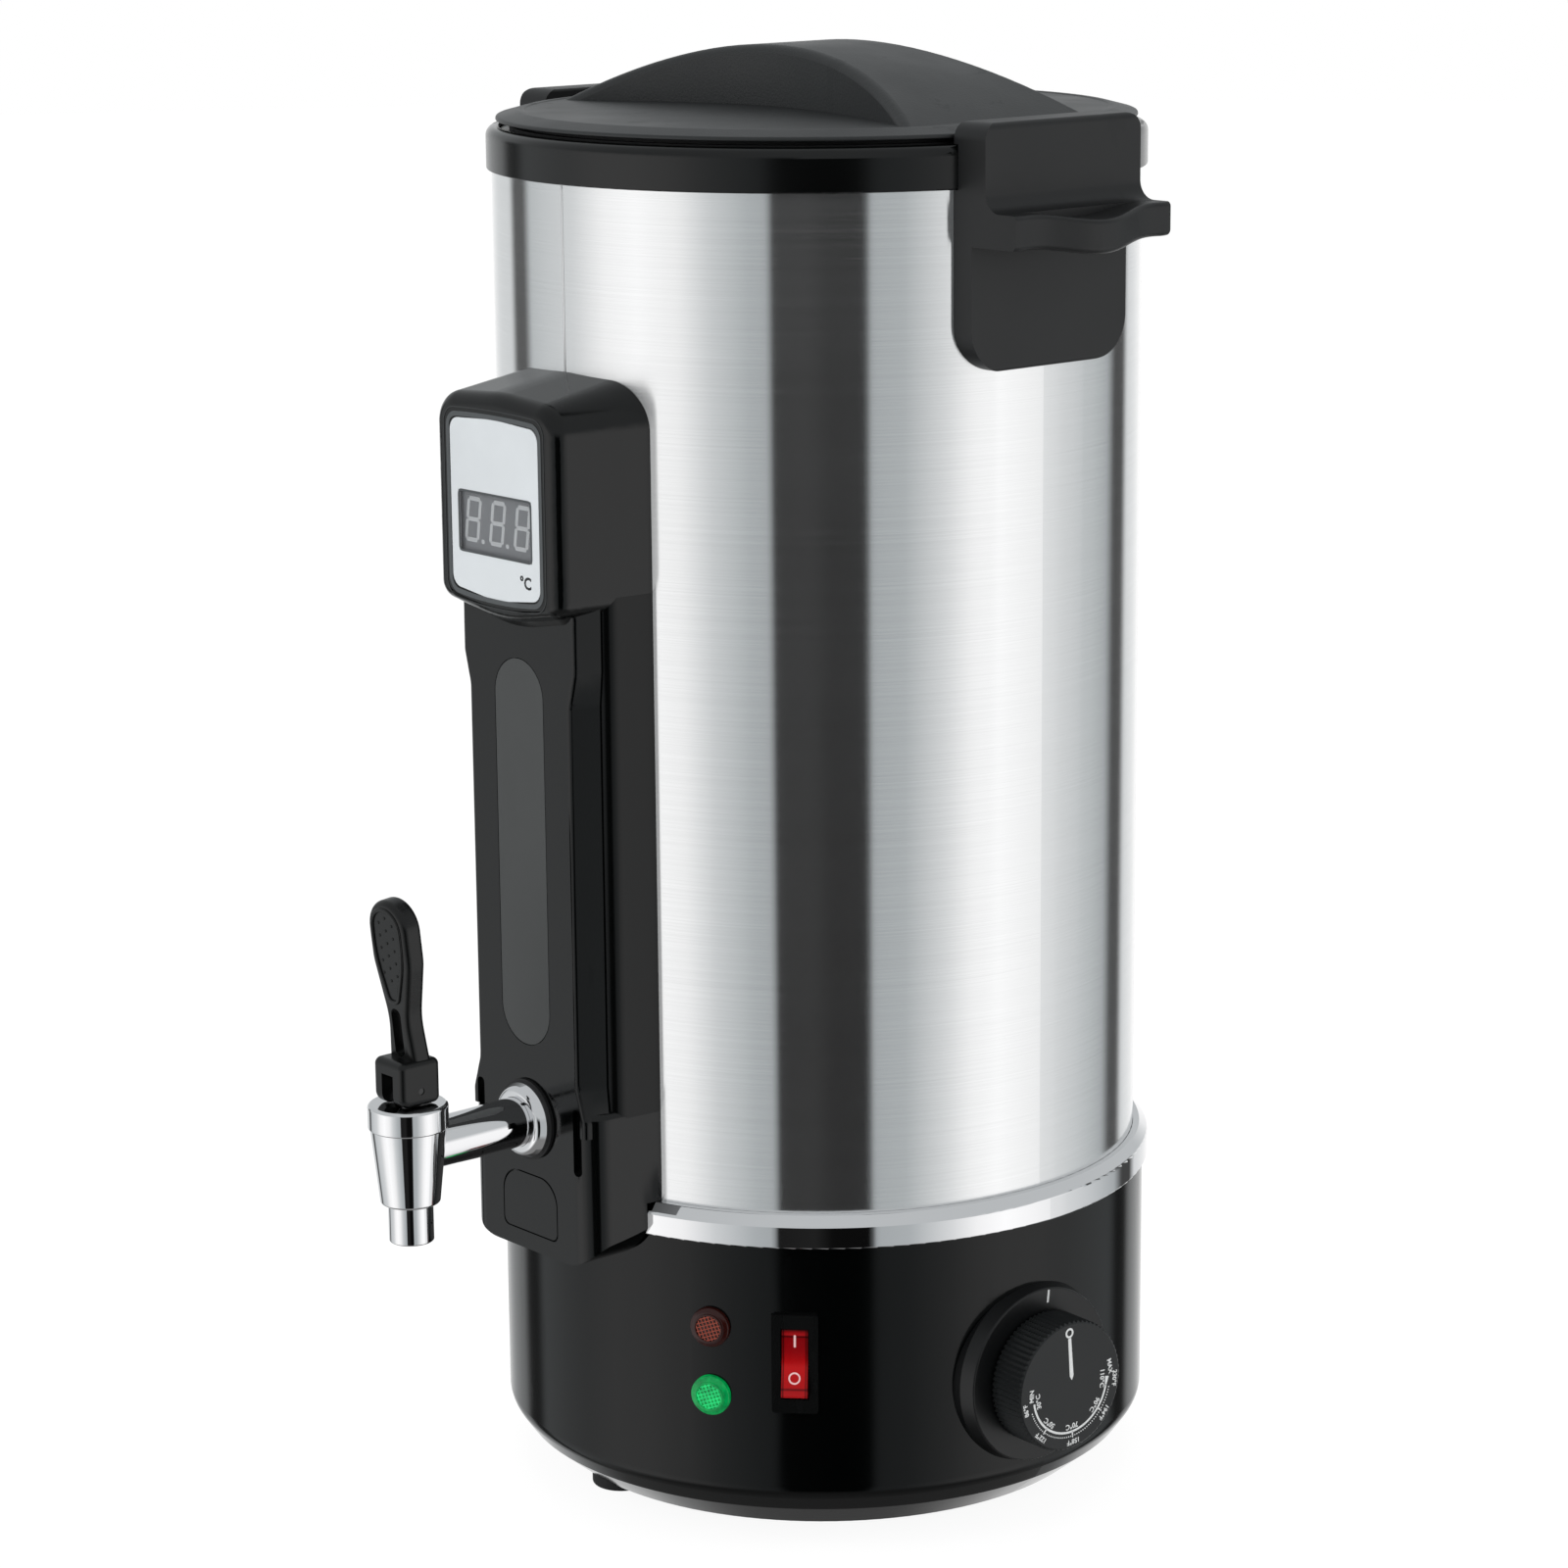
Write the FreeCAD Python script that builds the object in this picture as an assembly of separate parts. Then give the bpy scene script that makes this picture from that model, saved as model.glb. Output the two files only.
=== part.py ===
import FreeCAD, Part
import math
import os

# Electric wax melting urn with a lift-off lid, a spring-closed tap and a digital thermometer.
# Frame: +Z up, origin on the pot's axis at the surface it stands on.  The tap faces -Y and
# the two carrying handles lie on +X and -X.  An azimuth is counted from -Y towards +X, so 0
# is the tap, 90 the right handle.  "reach" is a distance from the axis, out along an azimuth.
# All sizes are in millimetres.

V = FreeCAD.Vector
UP = V(0, 0, 1)

# ---------------------------------------------------------------- body and base
SHELL_R = 100.0            # outer radius of the steel shell
SHELL_T = 0.8              # its wall
SHELL_SHOWN = 306.0        # bare height between chrome band and top ring
SHELL_TUCK = 9.0           # length that stands inside the top ring
SHELL_LIP = 6.2            # width of the lip turned in at its foot
BAND_H = 10.0              # chrome band round the shell's foot
BAND_OUT = 4.8             # band beyond the shell
BAND_NECK_OUT = 2.0        # its tapered upper edge beyond the shell
BAND_TAPER = 2.7           # height of that taper
BASE_OUT = 3.1             # black base beyond the shell
BASE_H = 94.5              # from its underside to its deck
BASE_WALL = 2.5
BASE_DECK = 3.0            # thickness of the deck that carries the shell
DECK_LEDGE = 10.0          # the deck reaches in under the shell by this
BASE_EDGE_INSET = 4.6      # hard edge where the base turns in, inside its wall
BASE_EDGE_H = 8.5          # its height above the underside
BASE_TURN_H = 15.0         # where the wall starts to turn in
BASE_FOOT_INSET = 15.1     # lower outer edge, inside the wall
FLOOR_LEDGE = 18.0         # width of the floor rim
BASE_FLOOR_T = 2.5
PLATE_INSET = 3.2          # sheet steel plate that closes the floor, inside its lower edge
PLATE_T = 1.2
VENT_COUNT = 12
VENT_W = 3.0
VENT_L = 27.0              # length of a vent slot
VENT_INSET = 23.8          # outer end of the slots, inside the plate's edge
FOOT_H = 4.5               # rubber foot
FOOT_R = 9.5
FOOT_INSET = 10.0          # the feet stand this far inside the lower edge
FOOT_ANGLES = (-8.0, 128.0, 240.0)
FOOT_RECESS = 2.6          # depth of the screw-head recess in a foot
BOSS_R = 5.0               # screw boss above each foot
BOSS_H = 12.0
FOOT_SCREW_R = 1.6
FOOT_SCREW_HEAD_R = 3.6
FOOT_SCREW_HEAD_H = 1.7
FOOT_SCREW_L = 14.0
DECK_SCREW_INSET = 4.0     # screws that hold shell and base together, inside the shell
DECK_SCREW_ANGLES = (-30.0, 90.0, 210.0)
DECK_SCREW_R = 1.5
DECK_SCREW_HEAD_R = 2.6
DECK_SCREW_HEAD_H = 1.8
DECK_SCREW_L = 7.0

# ---------------------------------------------------------------- top ring and pot
RING_OUT = 1.6             # top ring beyond the shell
RING_H = 12.9
RING_ROUND = 3.0           # rounding of its top edge
RING_INSET = 7.0           # the ring reaches in over the shell by this
RING_SKIRT = 8.4           # depth of the inner skirt below the top face
RING_SHOULDER = 4.0        # width of its top face
RING_STEP = 2.2            # depth of the step that takes the flange
POT_GAP = 1.0              # between pot and ring
POT_T = 0.8
POT_DEPTH = 306.1          # inside depth under the flange's top
POT_FLANGE_GAP = 0.3       # flange inside the ring's step
POT_CORNER = 4.0           # rounding between wall and bottom

# ---------------------------------------------------------------- heater under the pot
HEATER_INSET = 22.0        # aluminium spreader plate inside the pot's wall
HEATER_T = 4.0
ELEMENT_INSET = 18.0       # sheathed element, bent to a ring inside the plate's edge
ELEMENT_TUBE_R = 3.5
ELEMENT_SWEEP = 330.0
ELEMENT_LEG = 9.0
CLAMP_OVER = 10.0          # clamp bar beyond the element ring at each end
CLAMP_W = 16.0
CLAMP_T = 2.0
STUD_R = 3.0               # stud welded under the pot
STUD_L = 30.0
NUT_FLATS = 10.0
NUT_H = 4.8
SHIELD_GAP = 1.0           # between heat shield and deck
SHIELD_T = 0.6
SHIELD_RISE = 1.0          # above the underside of the base deck
SHIELD_HOLE_R = 5.0
CUTOUT_R = 8.0             # thermal cut-out against the plate
CUTOUT_H = 8.0
CUTOUT_Y = 30.0
BULB_R = 3.0               # thermostat bulb under the plate
BULB_INSET = 19.0          # its ends inside the element's ring
BULB_Y = -22.0
CAPILLARY_R = 0.9

# ---------------------------------------------------------------- thermostat and knob
KNOB_AZ = 87.0
KNOB_H = 51.0              # height of the knob's axis above the table
KNOB_R = 20.7
KNOB_DEPTH = 12.7
KNOB_GAP = 0.8             # between knob and bezel
KNOB_TEETH = 72
KNOB_TOOTH = 0.7           # depth of the grip grooves
KNOB_WALL = 3.2
KNOB_FACE_T = 3.0
KNOB_HUB_R = 6.0
SPINDLE_R = 3.0
SPINDLE_ROOT = 8.0         # spindle inside the thermostat
BEZEL_R = 27.4
BEZEL_FLARE = 1.2          # bezel's foot beyond its face
BEZEL_T = 3.9              # from the base wall to the bezel's flat face
BEZEL_HOLE_R = 7.0
PAD_INSET = 7.1            # flat inner face of the pad behind the bezel, inside the wall
PAD_W = 36.0
PAD_H = 32.0
PAD_HOLE_R = 5.5
STAT_PLATE_W = 40.0        # thermostat's mounting plate and body
STAT_PLATE_H = 24.0
STAT_PLATE_T = 1.6
STAT_W = 36.0
STAT_H = 40.0
STAT_D = 28.0
STAT_SCREW_PITCH = 28.0
STAT_SCREW_R = 1.9
STAT_SCREW_HEAD_R = 3.4
STAT_SCREW_HEAD_H = 1.9

# ---------------------------------------------------------------- switch and lamps
SWITCH_AZ = 43.5
SWITCH_H = 62.2
SWITCH_W = 14.2            # bezel
SWITCH_TALL = 31.4
SWITCH_LIP = 1.6
SWITCH_BODY_W = 12.0
SWITCH_BODY_TALL = 27.0
SWITCH_BODY_D = 22.0
SWITCH_SEAT = 0.25         # depth of the flat seat cut into the base wall
ROCKER_W = 8.0
ROCKER_TALL = 22.0
ROCKER_TILT = 12.0         # lean to either side of level
ROCKER_RISE = 3.6          # end of the rocker above its pivot
ROCKER_DIP = 2.2           # middle of the rocker above its pivot
ROCKER_ROOT = 4.0          # rocker below its pivot
ROCKER_PIVOT_IN = 2.4      # pivot below the bezel's face
ROCKER_PIN_R = 1.2
TAB_W = 4.8                # push-on terminals
TAB_T = 0.8
TAB_L = 8.0
TAB_PITCH = 8.0
LAMP_AZ = 28.9
RED_LAMP_H = 72.1
GREEN_LAMP_H = 50.2
LAMP_R = 6.25
LAMP_LIP = 1.6
LAMP_DOME = 0.9
LAMP_BODY_R = 5.0
LAMP_BODY_D = 20.0
LAMP_NUT_FLATS = 14.0
LAMP_NUT_H = 3.0
LAMP_LEG = 6.0
LAMP_LEG_HALF = 1.4        # half its width

# ---------------------------------------------------------------- mains inlet
INLET_AZ = 180.0
INLET_H = 46.0
INLET_FLANGE_W = 50.0
INLET_FLANGE_H = 24.0
INLET_FLANGE_T = 3.0
INLET_SEAT_INSET = 3.1     # flat seat inside the base wall
INLET_PAD_INSET = 6.6      # back of the pad inside the base wall
INLET_BODY_W = 27.0
INLET_BODY_H = 20.0
INLET_BODY_D = 26.0
INLET_SOCKET_W = 24.4
INLET_SOCKET_H = 16.4
INLET_SOCKET_D = 17.0
INLET_PIN_W = 4.0
INLET_PIN_T = 2.0
INLET_PIN_PITCH = 7.0
INLET_PIN_RISE = 2.0       # line pins above, earth pin below the centre
INLET_PIN_SHORT = 3.0      # pins stop this far below the socket's mouth
INLET_SCREW_PITCH = 40.0
INLET_SCREW_R = 1.5
INLET_SCREW_HEAD_R = 3.0
BLOCK_L = 38.0             # ceramic terminal block on the base plate
BLOCK_W = 20.0
BLOCK_H = 16.0
BLOCK_X = -34.0
BLOCK_Y = 24.0

# ---------------------------------------------------------------- handles
HANDLE_W = 63.0
HANDLE_TOP_R = 5.0         # rounded corners seen from outside
HANDLE_LOW_R = 13.0
HANDLE_OVER_RING = 6.5     # top of the handle above the ring
HANDLE_DROP = 53.0         # lower edge below the ring
HANDLE_INSET = 6.6         # inner face beside the lid, inside the ring
HANDLE_BLOCK_OUT = 6.4     # upper block beyond the ring
HANDLE_PLATE_OUT = 2.4     # lower plate beyond the shell
GRIP_DEPTH = 12.5          # grip beyond the upper block
GRIP_TOP = -6.0            # grip's faces at its ends, from the ring's underside
GRIP_T = 10.0
GRIP_NOSE = 5.5            # the middle of the grip stands out further
GRIP_SAG = 2.6             # and hangs lower
GRIP_WAVE = 25.0           # half width of that middle
HANDLE_SCREW_PITCH = 32.0
HANDLE_SCREW_H = -36.0
HANDLE_SCREW_R = 1.9
HANDLE_SCREW_HEAD_R = 3.5
HANDLE_SCREW_HEAD_H = 2.0
HANDLE_SCREW_L = 4.2

# ---------------------------------------------------------------- lid
LID_INSET = 3.1            # lid inside the ring
LID_GAP = 1.6              # open joint between lid rim and ring
LID_RIM_H = 3.0
LID_RIM_W = 7.0
LID_RIM_EDGE = 1.2         # upright height of the rim before it slopes in
LID_STEP = 0.3             # rim above the deck
LID_DOME = 1.6             # rise of the deck to its middle
LID_KEY_GAP = 0.4          # beside the handles' inner faces
RIDGE_TOP = 36.8           # top of the ridge above the ring's underside
RIDGE_R = 175.0            # its arch, seen from the tap
SCOOP_R = 184.0            # the hollows beside the ridge, seen from above
RIDGE_HALF = 19.0          # half width at the waist
LID_WALL = 2.4
RIDGE_ROUND = 2.5
LINER_GAP = 2.2            # liner inside the pot
LINER_T = 0.8
LINER_DEEP = 6.0           # liner below the ring's pot step
SEAL_W = 5.4               # width of the seal round the liner
LID_BOSS_R = 4.0
LID_SCREW_INSET = 27.0     # lid screws inside the liner's wall
LID_SCREW_ANGLES = (45.0, 135.0, 225.0, 315.0)
LID_SCREW_R = 1.5
LID_SCREW_HEAD_R = 3.0
LID_SCREW_HEAD_H = 1.6

# ---------------------------------------------------------------- column in front of the shell
COLUMN_HALF = 33.0
COLUMN_WALL = 2.4
COLUMN_TOP = -53.6         # heights from the ring's underside
COLUMN_BOTTOM = -324.3
COLUMN_ROOT = 10.0         # its pieces are drawn from this far inside the shell, then trimmed to it
FRAME_OUT = 12.0           # side rails beyond the shell
FRAME_ROUND = 6.0
FRAME_BAR = 8.0            # crossbar at the rails' lower end
FOOT_BLOCK_TOP = -275.0    # full-width block round the tap
FOOT_BLOCK_LOW_R = 16.0
FOOT_BLOCK_ROUND = 8.2
FOOT_BLOCK_EDGE = 2.6
HEAD_OUT = 27.4            # face of the head beyond the shell
HEAD_HALF = 29.0
HEAD_TOP = -59.6
HEAD_ARCH = 1.8            # its top stands higher in the middle
HEAD_BOTTOM = -127.3
HEAD_SAG = 4.6             # the lower edge bulges by this
HEAD_ROUND = 5.0
HEAD_CORNER = 9.0
HEAD_BACK_CORNER = 16.0
SPINE_OUT = 20.0           # face of the spine beyond the shell
SPINE_HALF = 24.0
SPINE_SHOULDER = 26.8      # half width just below the head
SPINE_WAIST_TOP = -150.0
SPINE_FLARE_HALF = 27.6    # half width where it runs into the foot block
SPINE_FLARE_H = 10.0
NECK_DROP = 4.4            # the spine's slanting top edge under the head
NECK_INSET = 2.0
SPINE_ROOT_HALF = 29.6         # the slim part's sides slant out to this half width on the rails
SPINE_SLANT = 4.6              # most that its sides slant out
DROP_ACROSS = 23.6         # drop-shaped recess beside the tap
DROP_HALF = 1.7
DROP_TOP = -274.0
DROP_BOTTOM = -295.0
DROP_DEEP = 1.6
SPINE_ROUND = 1.6
LABEL_HALF = 21.3
LABEL_TOP = -67.6
LABEL_BOTTOM = -118.4
LABEL_ARCH = 1.2
LABEL_BULGE = 2.6
LABEL_T = 0.7
LABEL_CORNER = 4.0
LABEL_GAP = 0.25
WINDOW_W = 34.8
WINDOW_H = 18.2
WINDOW_MID = -98.2
WINDOW_T = 1.2
DIGITS_W = 37.6
DIGITS_H = 19.0
DIGITS_D = 7.0
BOARD_W = 46.0
BOARD_H = 36.0
BOARD_T = 1.6
INSERT_HALF = 11.8
INSERT_TOP = -138.7
INSERT_BOTTOM = -258.6
INSERT_T = 0.8
HATCH_HALF = 13.0
HATCH_TOP = -300.0
HATCH_BOTTOM = -318.4
HATCH_T = 0.9
HATCH_GAP = 0.45           # groove round the hatch
HATCH_TOP_R = 8.0
HATCH_LOW_R = 2.5
INSERT_GAP = 0.3           # groove round the insert
COLUMN_SCREW_HEIGHTS = (-150.0, -236.0)
COLUMN_SCREW_R = 1.9
COLUMN_SCREW_HEAD_R = 3.5
COLUMN_SCREW_HEAD_H = 2.2
COLUMN_SCREW_L = 12.0
COLUMN_BOSS_R = 4.5
CABLE_HOLE_R = 4.0
CABLE_HOLE_H = -90.0

# ---------------------------------------------------------------- temperature probe
PROBE_H = -200.0
PROBE_R = 3.0
PROBE_DIP = 14.2           # probe beyond the pot's wall, into the wax
PROBE_HEAD_R = 6.0
PROBE_HEAD_T = 3.4
PROBE_TAIL = 6.0

# ---------------------------------------------------------------- tap
TAP_H = -282.0             # shank axis, from the ring's underside
TAP_OUT = 45.0             # barrel axis beyond the spine
SHANK_R = 7.7
SHANK_BORE_R = 5.0
SHANK_DIP = 11.2           # shank beyond the pot's wall, into the wax
SEAL_WASHER_R = 9.8
SEAL_WASHER_T = 3.0
SHANK_NUT_FLATS = 20.0
SHANK_NUT_T = 5.0
JAM_NUT_T = 2.2
GASKET_R = 12.6
GASKET_T = 1.0
DISC_R = 11.6              # domed chrome washer
DISC_T = 4.0
BARREL_TOP_R = 11.5
BARREL_LOW_R = 9.0
BARREL_TOP = 7.0           # above the shank axis
BARREL_LOW = -16.4
SPOUT_R = 6.8
SPOUT_LOW = -28.4
SPOUT_BORE_R = 5.0
CHAMBER_R = 8.2
CHAMBER_LOW = -11.0
BONNET_R = 12.1
BONNET_H = 7.7
BONNET_ROOF = 4.7
BONNET_SKIRT = 1.6
SPRING_ROOM_R = 6.4
STEM_R = 2.0
CUP_R = 7.0
CUP_H = 6.5
STEM_COLLAR_R = 5.8
STEM_COLLAR_T = 1.4
STEM_EYE_R = 3.2
STEM_EYE_T = 4.0
SPRING_R = 4.6
SPRING_WIRE_R = 0.45
SPRING_TURNS = 5
LEVER_GAP = 0.3            # lever block above the bonnet at rest
LEVER_BLOCK = 14.5         # square block round the stem's eye
LEVER_BLOCK_H = 14.0
LEVER_PIN_RISE = 4.6       # pin above the block's underside
LEVER_CAM_R = 3.5
LEVER_SLOT_W = 5.6
LEVER_SLOT_H = 9.6
LEVER_PIN_R = 1.0
LEVER_ARM_H = 49.0         # arm and paddle above the block
LEVER_ARM_T = 6.8
LEVER_ARM_BACK = 4.8       # its back face behind the stem's axis
LEVER_ARM_ROUND = 2.0
LEVER_BLOCK_ROUND = 2.0
LEVER_LEAN = 6.0           # the arm leans out by this many degrees
LEVER_NECK_HALF = 4.7
LEVER_PADDLE_HALF = 9.2
LEVER_WINDOW_W = 4.6
LEVER_WINDOW_H = 15.0

# ---------------------------------------------------------------- wiring
WIRE_R = 1.3
WIRE_BEND = 7.0
WIRE_RUN_OUT = 14.0        # straight lead before its first bend
WIRE_RUN_OUT_LONG = 22.0   # the same, at a lamp and at the element
WIRE_LAMP_H = 34.0         # height at which the lamp's lead crosses the base
WIRE_SWITCH_H = 30.0       # the same for the switch's lead
WIRE_ELEMENT_DROP = 34.0   # the element's lead crosses this far below its end
LAMP_LEG_PITCH = 4.8       # between a lamp's two legs
BULB_ELBOW = 9.0           # the capillary turns down this far beyond the bulb
CAPILLARY_RISE = 12.0      # its level run above the thermostat
CAPILLARY_BEND = 4.0

# ---------------------------------------------------------------- fits
FIT = 0.05                 # running fit, radial
SNUG = 0.1                 # pieces of one body that lie in each other
SLIP = 0.3                 # pieces that move past each other

# ---------------------------------------------------------------- radii and reaches worked out from the above
BAND_R = SHELL_R + BAND_OUT
BAND_NECK_R = SHELL_R + BAND_NECK_OUT
BASE_R = SHELL_R + BASE_OUT
BASE_DECK_IN = SHELL_R - DECK_LEDGE
BASE_EDGE_R = BASE_R - BASE_EDGE_INSET
BASE_FOOT_R = BASE_R - BASE_FOOT_INSET
BASE_FLOOR_IN = BASE_FOOT_R - FLOOR_LEDGE
PLATE_R = BASE_FOOT_R - PLATE_INSET
FOOT_RING_R = BASE_FOOT_R - FOOT_INSET
VENT_OUT = PLATE_R - VENT_INSET
VENT_IN = VENT_OUT - VENT_L
DECK_SCREW_RING_R = SHELL_R - DECK_SCREW_INSET
RING_R = SHELL_R + RING_OUT
RING_IN = SHELL_R - RING_INSET
RING_SHOULDER_R = RING_R - RING_SHOULDER
POT_R = RING_IN - POT_GAP
POT_FLANGE_R = RING_SHOULDER_R - POT_FLANGE_GAP
POT_IN = POT_R - POT_T
SHIELD_R = BASE_DECK_IN - SHIELD_GAP
HEATER_R = POT_R - HEATER_INSET
ELEMENT_R = HEATER_R - ELEMENT_INSET
CLAMP_L = 2 * (ELEMENT_R + CLAMP_OVER)
BULB_L = 2 * (ELEMENT_R - BULB_INSET)
PAD_REACH = BASE_R - PAD_INSET
SPINDLE_IN = PAD_REACH - SPINDLE_ROOT
BEZEL_FOOT_R = BEZEL_R + BEZEL_FLARE
INLET_SEAT = BASE_R - INLET_SEAT_INSET
INLET_PAD_REACH = BASE_R - INLET_PAD_INSET
HANDLE_LID_REACH = RING_R - HANDLE_INSET
HANDLE_BLOCK_REACH = RING_R + HANDLE_BLOCK_OUT
HANDLE_PLATE_REACH = SHELL_R + HANDLE_PLATE_OUT
GRIP_REACH = HANDLE_BLOCK_REACH + GRIP_DEPTH
LID_R = RING_R - LID_INSET
LINER_R = POT_IN - LINER_GAP
SEAL_R = LINER_R + SEAL_W
LID_SCREW_RING_R = LINER_R - LID_SCREW_INSET
FRAME_REACH = SHELL_R + FRAME_OUT
HEAD_REACH = SHELL_R + HEAD_OUT
SPINE_REACH = SHELL_R + SPINE_OUT
TAP_REACH = SPINE_REACH + TAP_OUT
PROBE_IN = POT_IN - PROBE_DIP
SHANK_IN = POT_IN - SHANK_DIP

# ---------------------------------------------------------------- heights worked out from the above
BASE_Z = FOOT_H
DECK_Z = BASE_Z + BASE_H
BAND_TOP_Z = DECK_Z + BAND_H
RING_Z = BAND_TOP_Z + SHELL_SHOWN
RING_TOP_Z = RING_Z + RING_H
SHELL_TOP_Z = RING_Z + SHELL_TUCK
SHELL_IN = SHELL_R - SHELL_T
POT_SEAT_Z = RING_TOP_Z - RING_STEP
POT_TOP_Z = POT_SEAT_Z + POT_T
POT_FLOOR_Z = POT_TOP_Z - POT_DEPTH
POT_UNDER_Z = POT_FLOOR_Z - POT_T
HEATER_Z = POT_UNDER_Z - HEATER_T
ELEMENT_Z = HEATER_Z - ELEMENT_TUBE_R
CLAMP_Z = ELEMENT_Z - ELEMENT_TUBE_R - CLAMP_T
STUD_Z = POT_UNDER_Z - STUD_L
SHIELD_Z = DECK_Z - BASE_DECK + SHIELD_RISE
FLOOR_Z = BASE_Z + PLATE_T
BASE_IN = BASE_R - BASE_WALL
KNOB_Z = KNOB_H
BEZEL_FACE = BASE_R + BEZEL_T
KNOB_BACK = BEZEL_FACE + KNOB_GAP
KNOB_FACE = KNOB_BACK + KNOB_DEPTH
SWITCH_FACE = BASE_R - SWITCH_SEAT + SWITCH_LIP
ROCKER_PIVOT = SWITCH_FACE - ROCKER_PIVOT_IN
LAMP_SEAT = BASE_R - SWITCH_SEAT
TAP_Z = RING_Z + TAP_H
BONNET_Z = TAP_Z + BARREL_TOP
BONNET_TOP_Z = BONNET_Z + BONNET_H
CHAMBER_Z = TAP_Z + CHAMBER_LOW
LEVER_Z = BONNET_TOP_Z + LEVER_GAP
PIN_Z = LEVER_Z + LEVER_PIN_RISE
LID_Z = RING_TOP_Z + LID_GAP
LID_TOP_Z = LID_Z + LID_RIM_H
LID_DECK_Z = LID_TOP_Z - LID_STEP
LINER_Z = POT_SEAT_Z - LINER_DEEP
HANDLE_TOP_Z = RING_TOP_Z + HANDLE_OVER_RING


# ================================================================ shapes
def outward(azimuth):
    """Unit vector away from the axis at an azimuth."""
    angle = math.radians(azimuth)
    return V(math.sin(angle), -math.cos(angle), 0)


def at_azimuth(shape, azimuth):
    """A shape built facing -Y, turned to its azimuth."""
    turned = shape.copy()
    turned.rotate(V(0, 0, 0), UP, azimuth)
    return turned


def front(reach):
    """Places (across, height) in the plane that faces -Y at a reach."""
    return lambda across, height: V(across, -reach, height)


def section(across=0.0):
    """Places (reach, height) in the upright plane through -Y, moved across."""
    return lambda reach, height: V(across, -reach, height)


def plan(height):
    """Places (x, y) in a level plane."""
    return lambda x, y: V(x, y, height)


def closed_wire(corners, place):
    """A closed wire through corners (a, b) or (a, b, radius), rounded where a radius is given."""
    points = [tuple(corner) + (0.0,) * (3 - len(corner)) for corner in corners]
    count = len(points)
    ends = []
    for index, (a, b, radius) in enumerate(points):
        here = V(a, b, 0)
        back = V(points[index - 1][0], points[index - 1][1], 0) - here
        ahead = V(points[(index + 1) % count][0], points[(index + 1) % count][1], 0) - here
        if radius <= 0:
            ends.append((here, here, here))
            continue
        back.normalize()
        ahead.normalize()
        half = back.getAngle(ahead) / 2
        run = radius / math.tan(half)
        middle = back + ahead
        middle.normalize()
        dip = radius / math.sin(half) - radius
        ends.append((here + back * run, here + middle * dip, here + ahead * run))
    edges = []
    for index, (start, middle, end) in enumerate(ends):
        if (end - start).Length > 1e-6:
            arc = Part.Arc(place(start.x, start.y), place(middle.x, middle.y), place(end.x, end.y))
            edges.append(arc.toShape())
        following = ends[(index + 1) % count][0]
        if (following - end).Length > 1e-6:
            edges.append(Part.LineSegment(place(end.x, end.y), place(following.x, following.y)).toShape())
    return Part.Wire(edges)


def ring_solid(corners):
    """A solid of revolution about the pot's axis, from its (radius, height) outline."""
    wire = closed_wire(corners, lambda radius, height: V(radius, 0, height))
    return Part.Face(wire).revolve(V(0, 0, 0), UP, 360)


def post_solid(corners, x, y):
    """A solid of revolution about an upright axis through (x, y)."""
    solid = ring_solid(corners)
    solid.translate(V(x, y, 0))
    return solid


def out_prism(corners, start, end):
    """An outline (across, height) drawn out along -Y from one reach to another."""
    face = Part.Face(closed_wire(corners, front(start)))
    return face.extrude(V(0, start - end, 0))


def box_between(across, reach, height):
    """A box from three (low, high) pairs."""
    size = [pair[1] - pair[0] for pair in (across, reach, height)]
    return Part.makeBox(size[0], size[1], size[2], V(across[0], -reach[1], height[0]))


def rod(radius, start, end, height, across=0.0):
    """A round bar along -Y between two reaches."""
    return Part.makeCylinder(radius, end - start, V(across, -start, height), V(0, -1, 0))


def pillar(radius, low, high, x=0.0, y=0.0):
    return Part.makeCylinder(radius, high - low, V(x, y, low), UP)


def tube(outer, inner, low, high):
    return pillar(outer, low, high).cut(pillar(inner, low, high))


def rounded_box(half, low, high, radius):
    """Corners of an upright rounded rectangle."""
    return [(-half, low, radius), (half, low, radius), (half, high, radius), (-half, high, radius)]


def hex_prism(flats, low, high, x=0.0, y=0.0):
    reach = flats / math.sqrt(3)
    points = [(x + reach * math.cos(math.radians(60 * step)), y + reach * math.sin(math.radians(60 * step)))
              for step in range(6)]
    return Part.Face(closed_wire(points, plan(low))).extrude(V(0, 0, high - low))


def hex_out(flats, start, end, height, across=0.0):
    """A hexagon bar along -Y."""
    reach = flats / math.sqrt(3)
    points = [(across + reach * math.cos(math.radians(60 * step)),
               height + reach * math.sin(math.radians(60 * step)))
              for step in range(6)]
    return out_prism(points, start, end)


def union(shapes):
    whole = shapes[0]
    if len(shapes) > 1:
        whole = whole.fuse(shapes[1:])
    return whole.removeSplitter()


def cut_all(shape, tools):
    return shape.cut(tools) if tools else shape


def group(shapes):
    return Part.Compound(shapes)


def around(shape, angles):
    return [at_azimuth(shape, angle) for angle in angles]


def rounded_edges(shape, radius, chosen):
    """Rounds the edges that a test picks."""
    edges = [edge for edge in shape.Edges if chosen(edge)]
    return shape.makeFillet(radius, edges)


def spans(edge, low, high, axis):
    """True when an edge lies between two values along an axis."""
    box = edge.BoundBox
    values = {"x": (box.XMin, box.XMax), "y": (box.YMin, box.YMax), "z": (box.ZMin, box.ZMax)}[axis]
    return values[0] > low and values[1] < high


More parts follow.
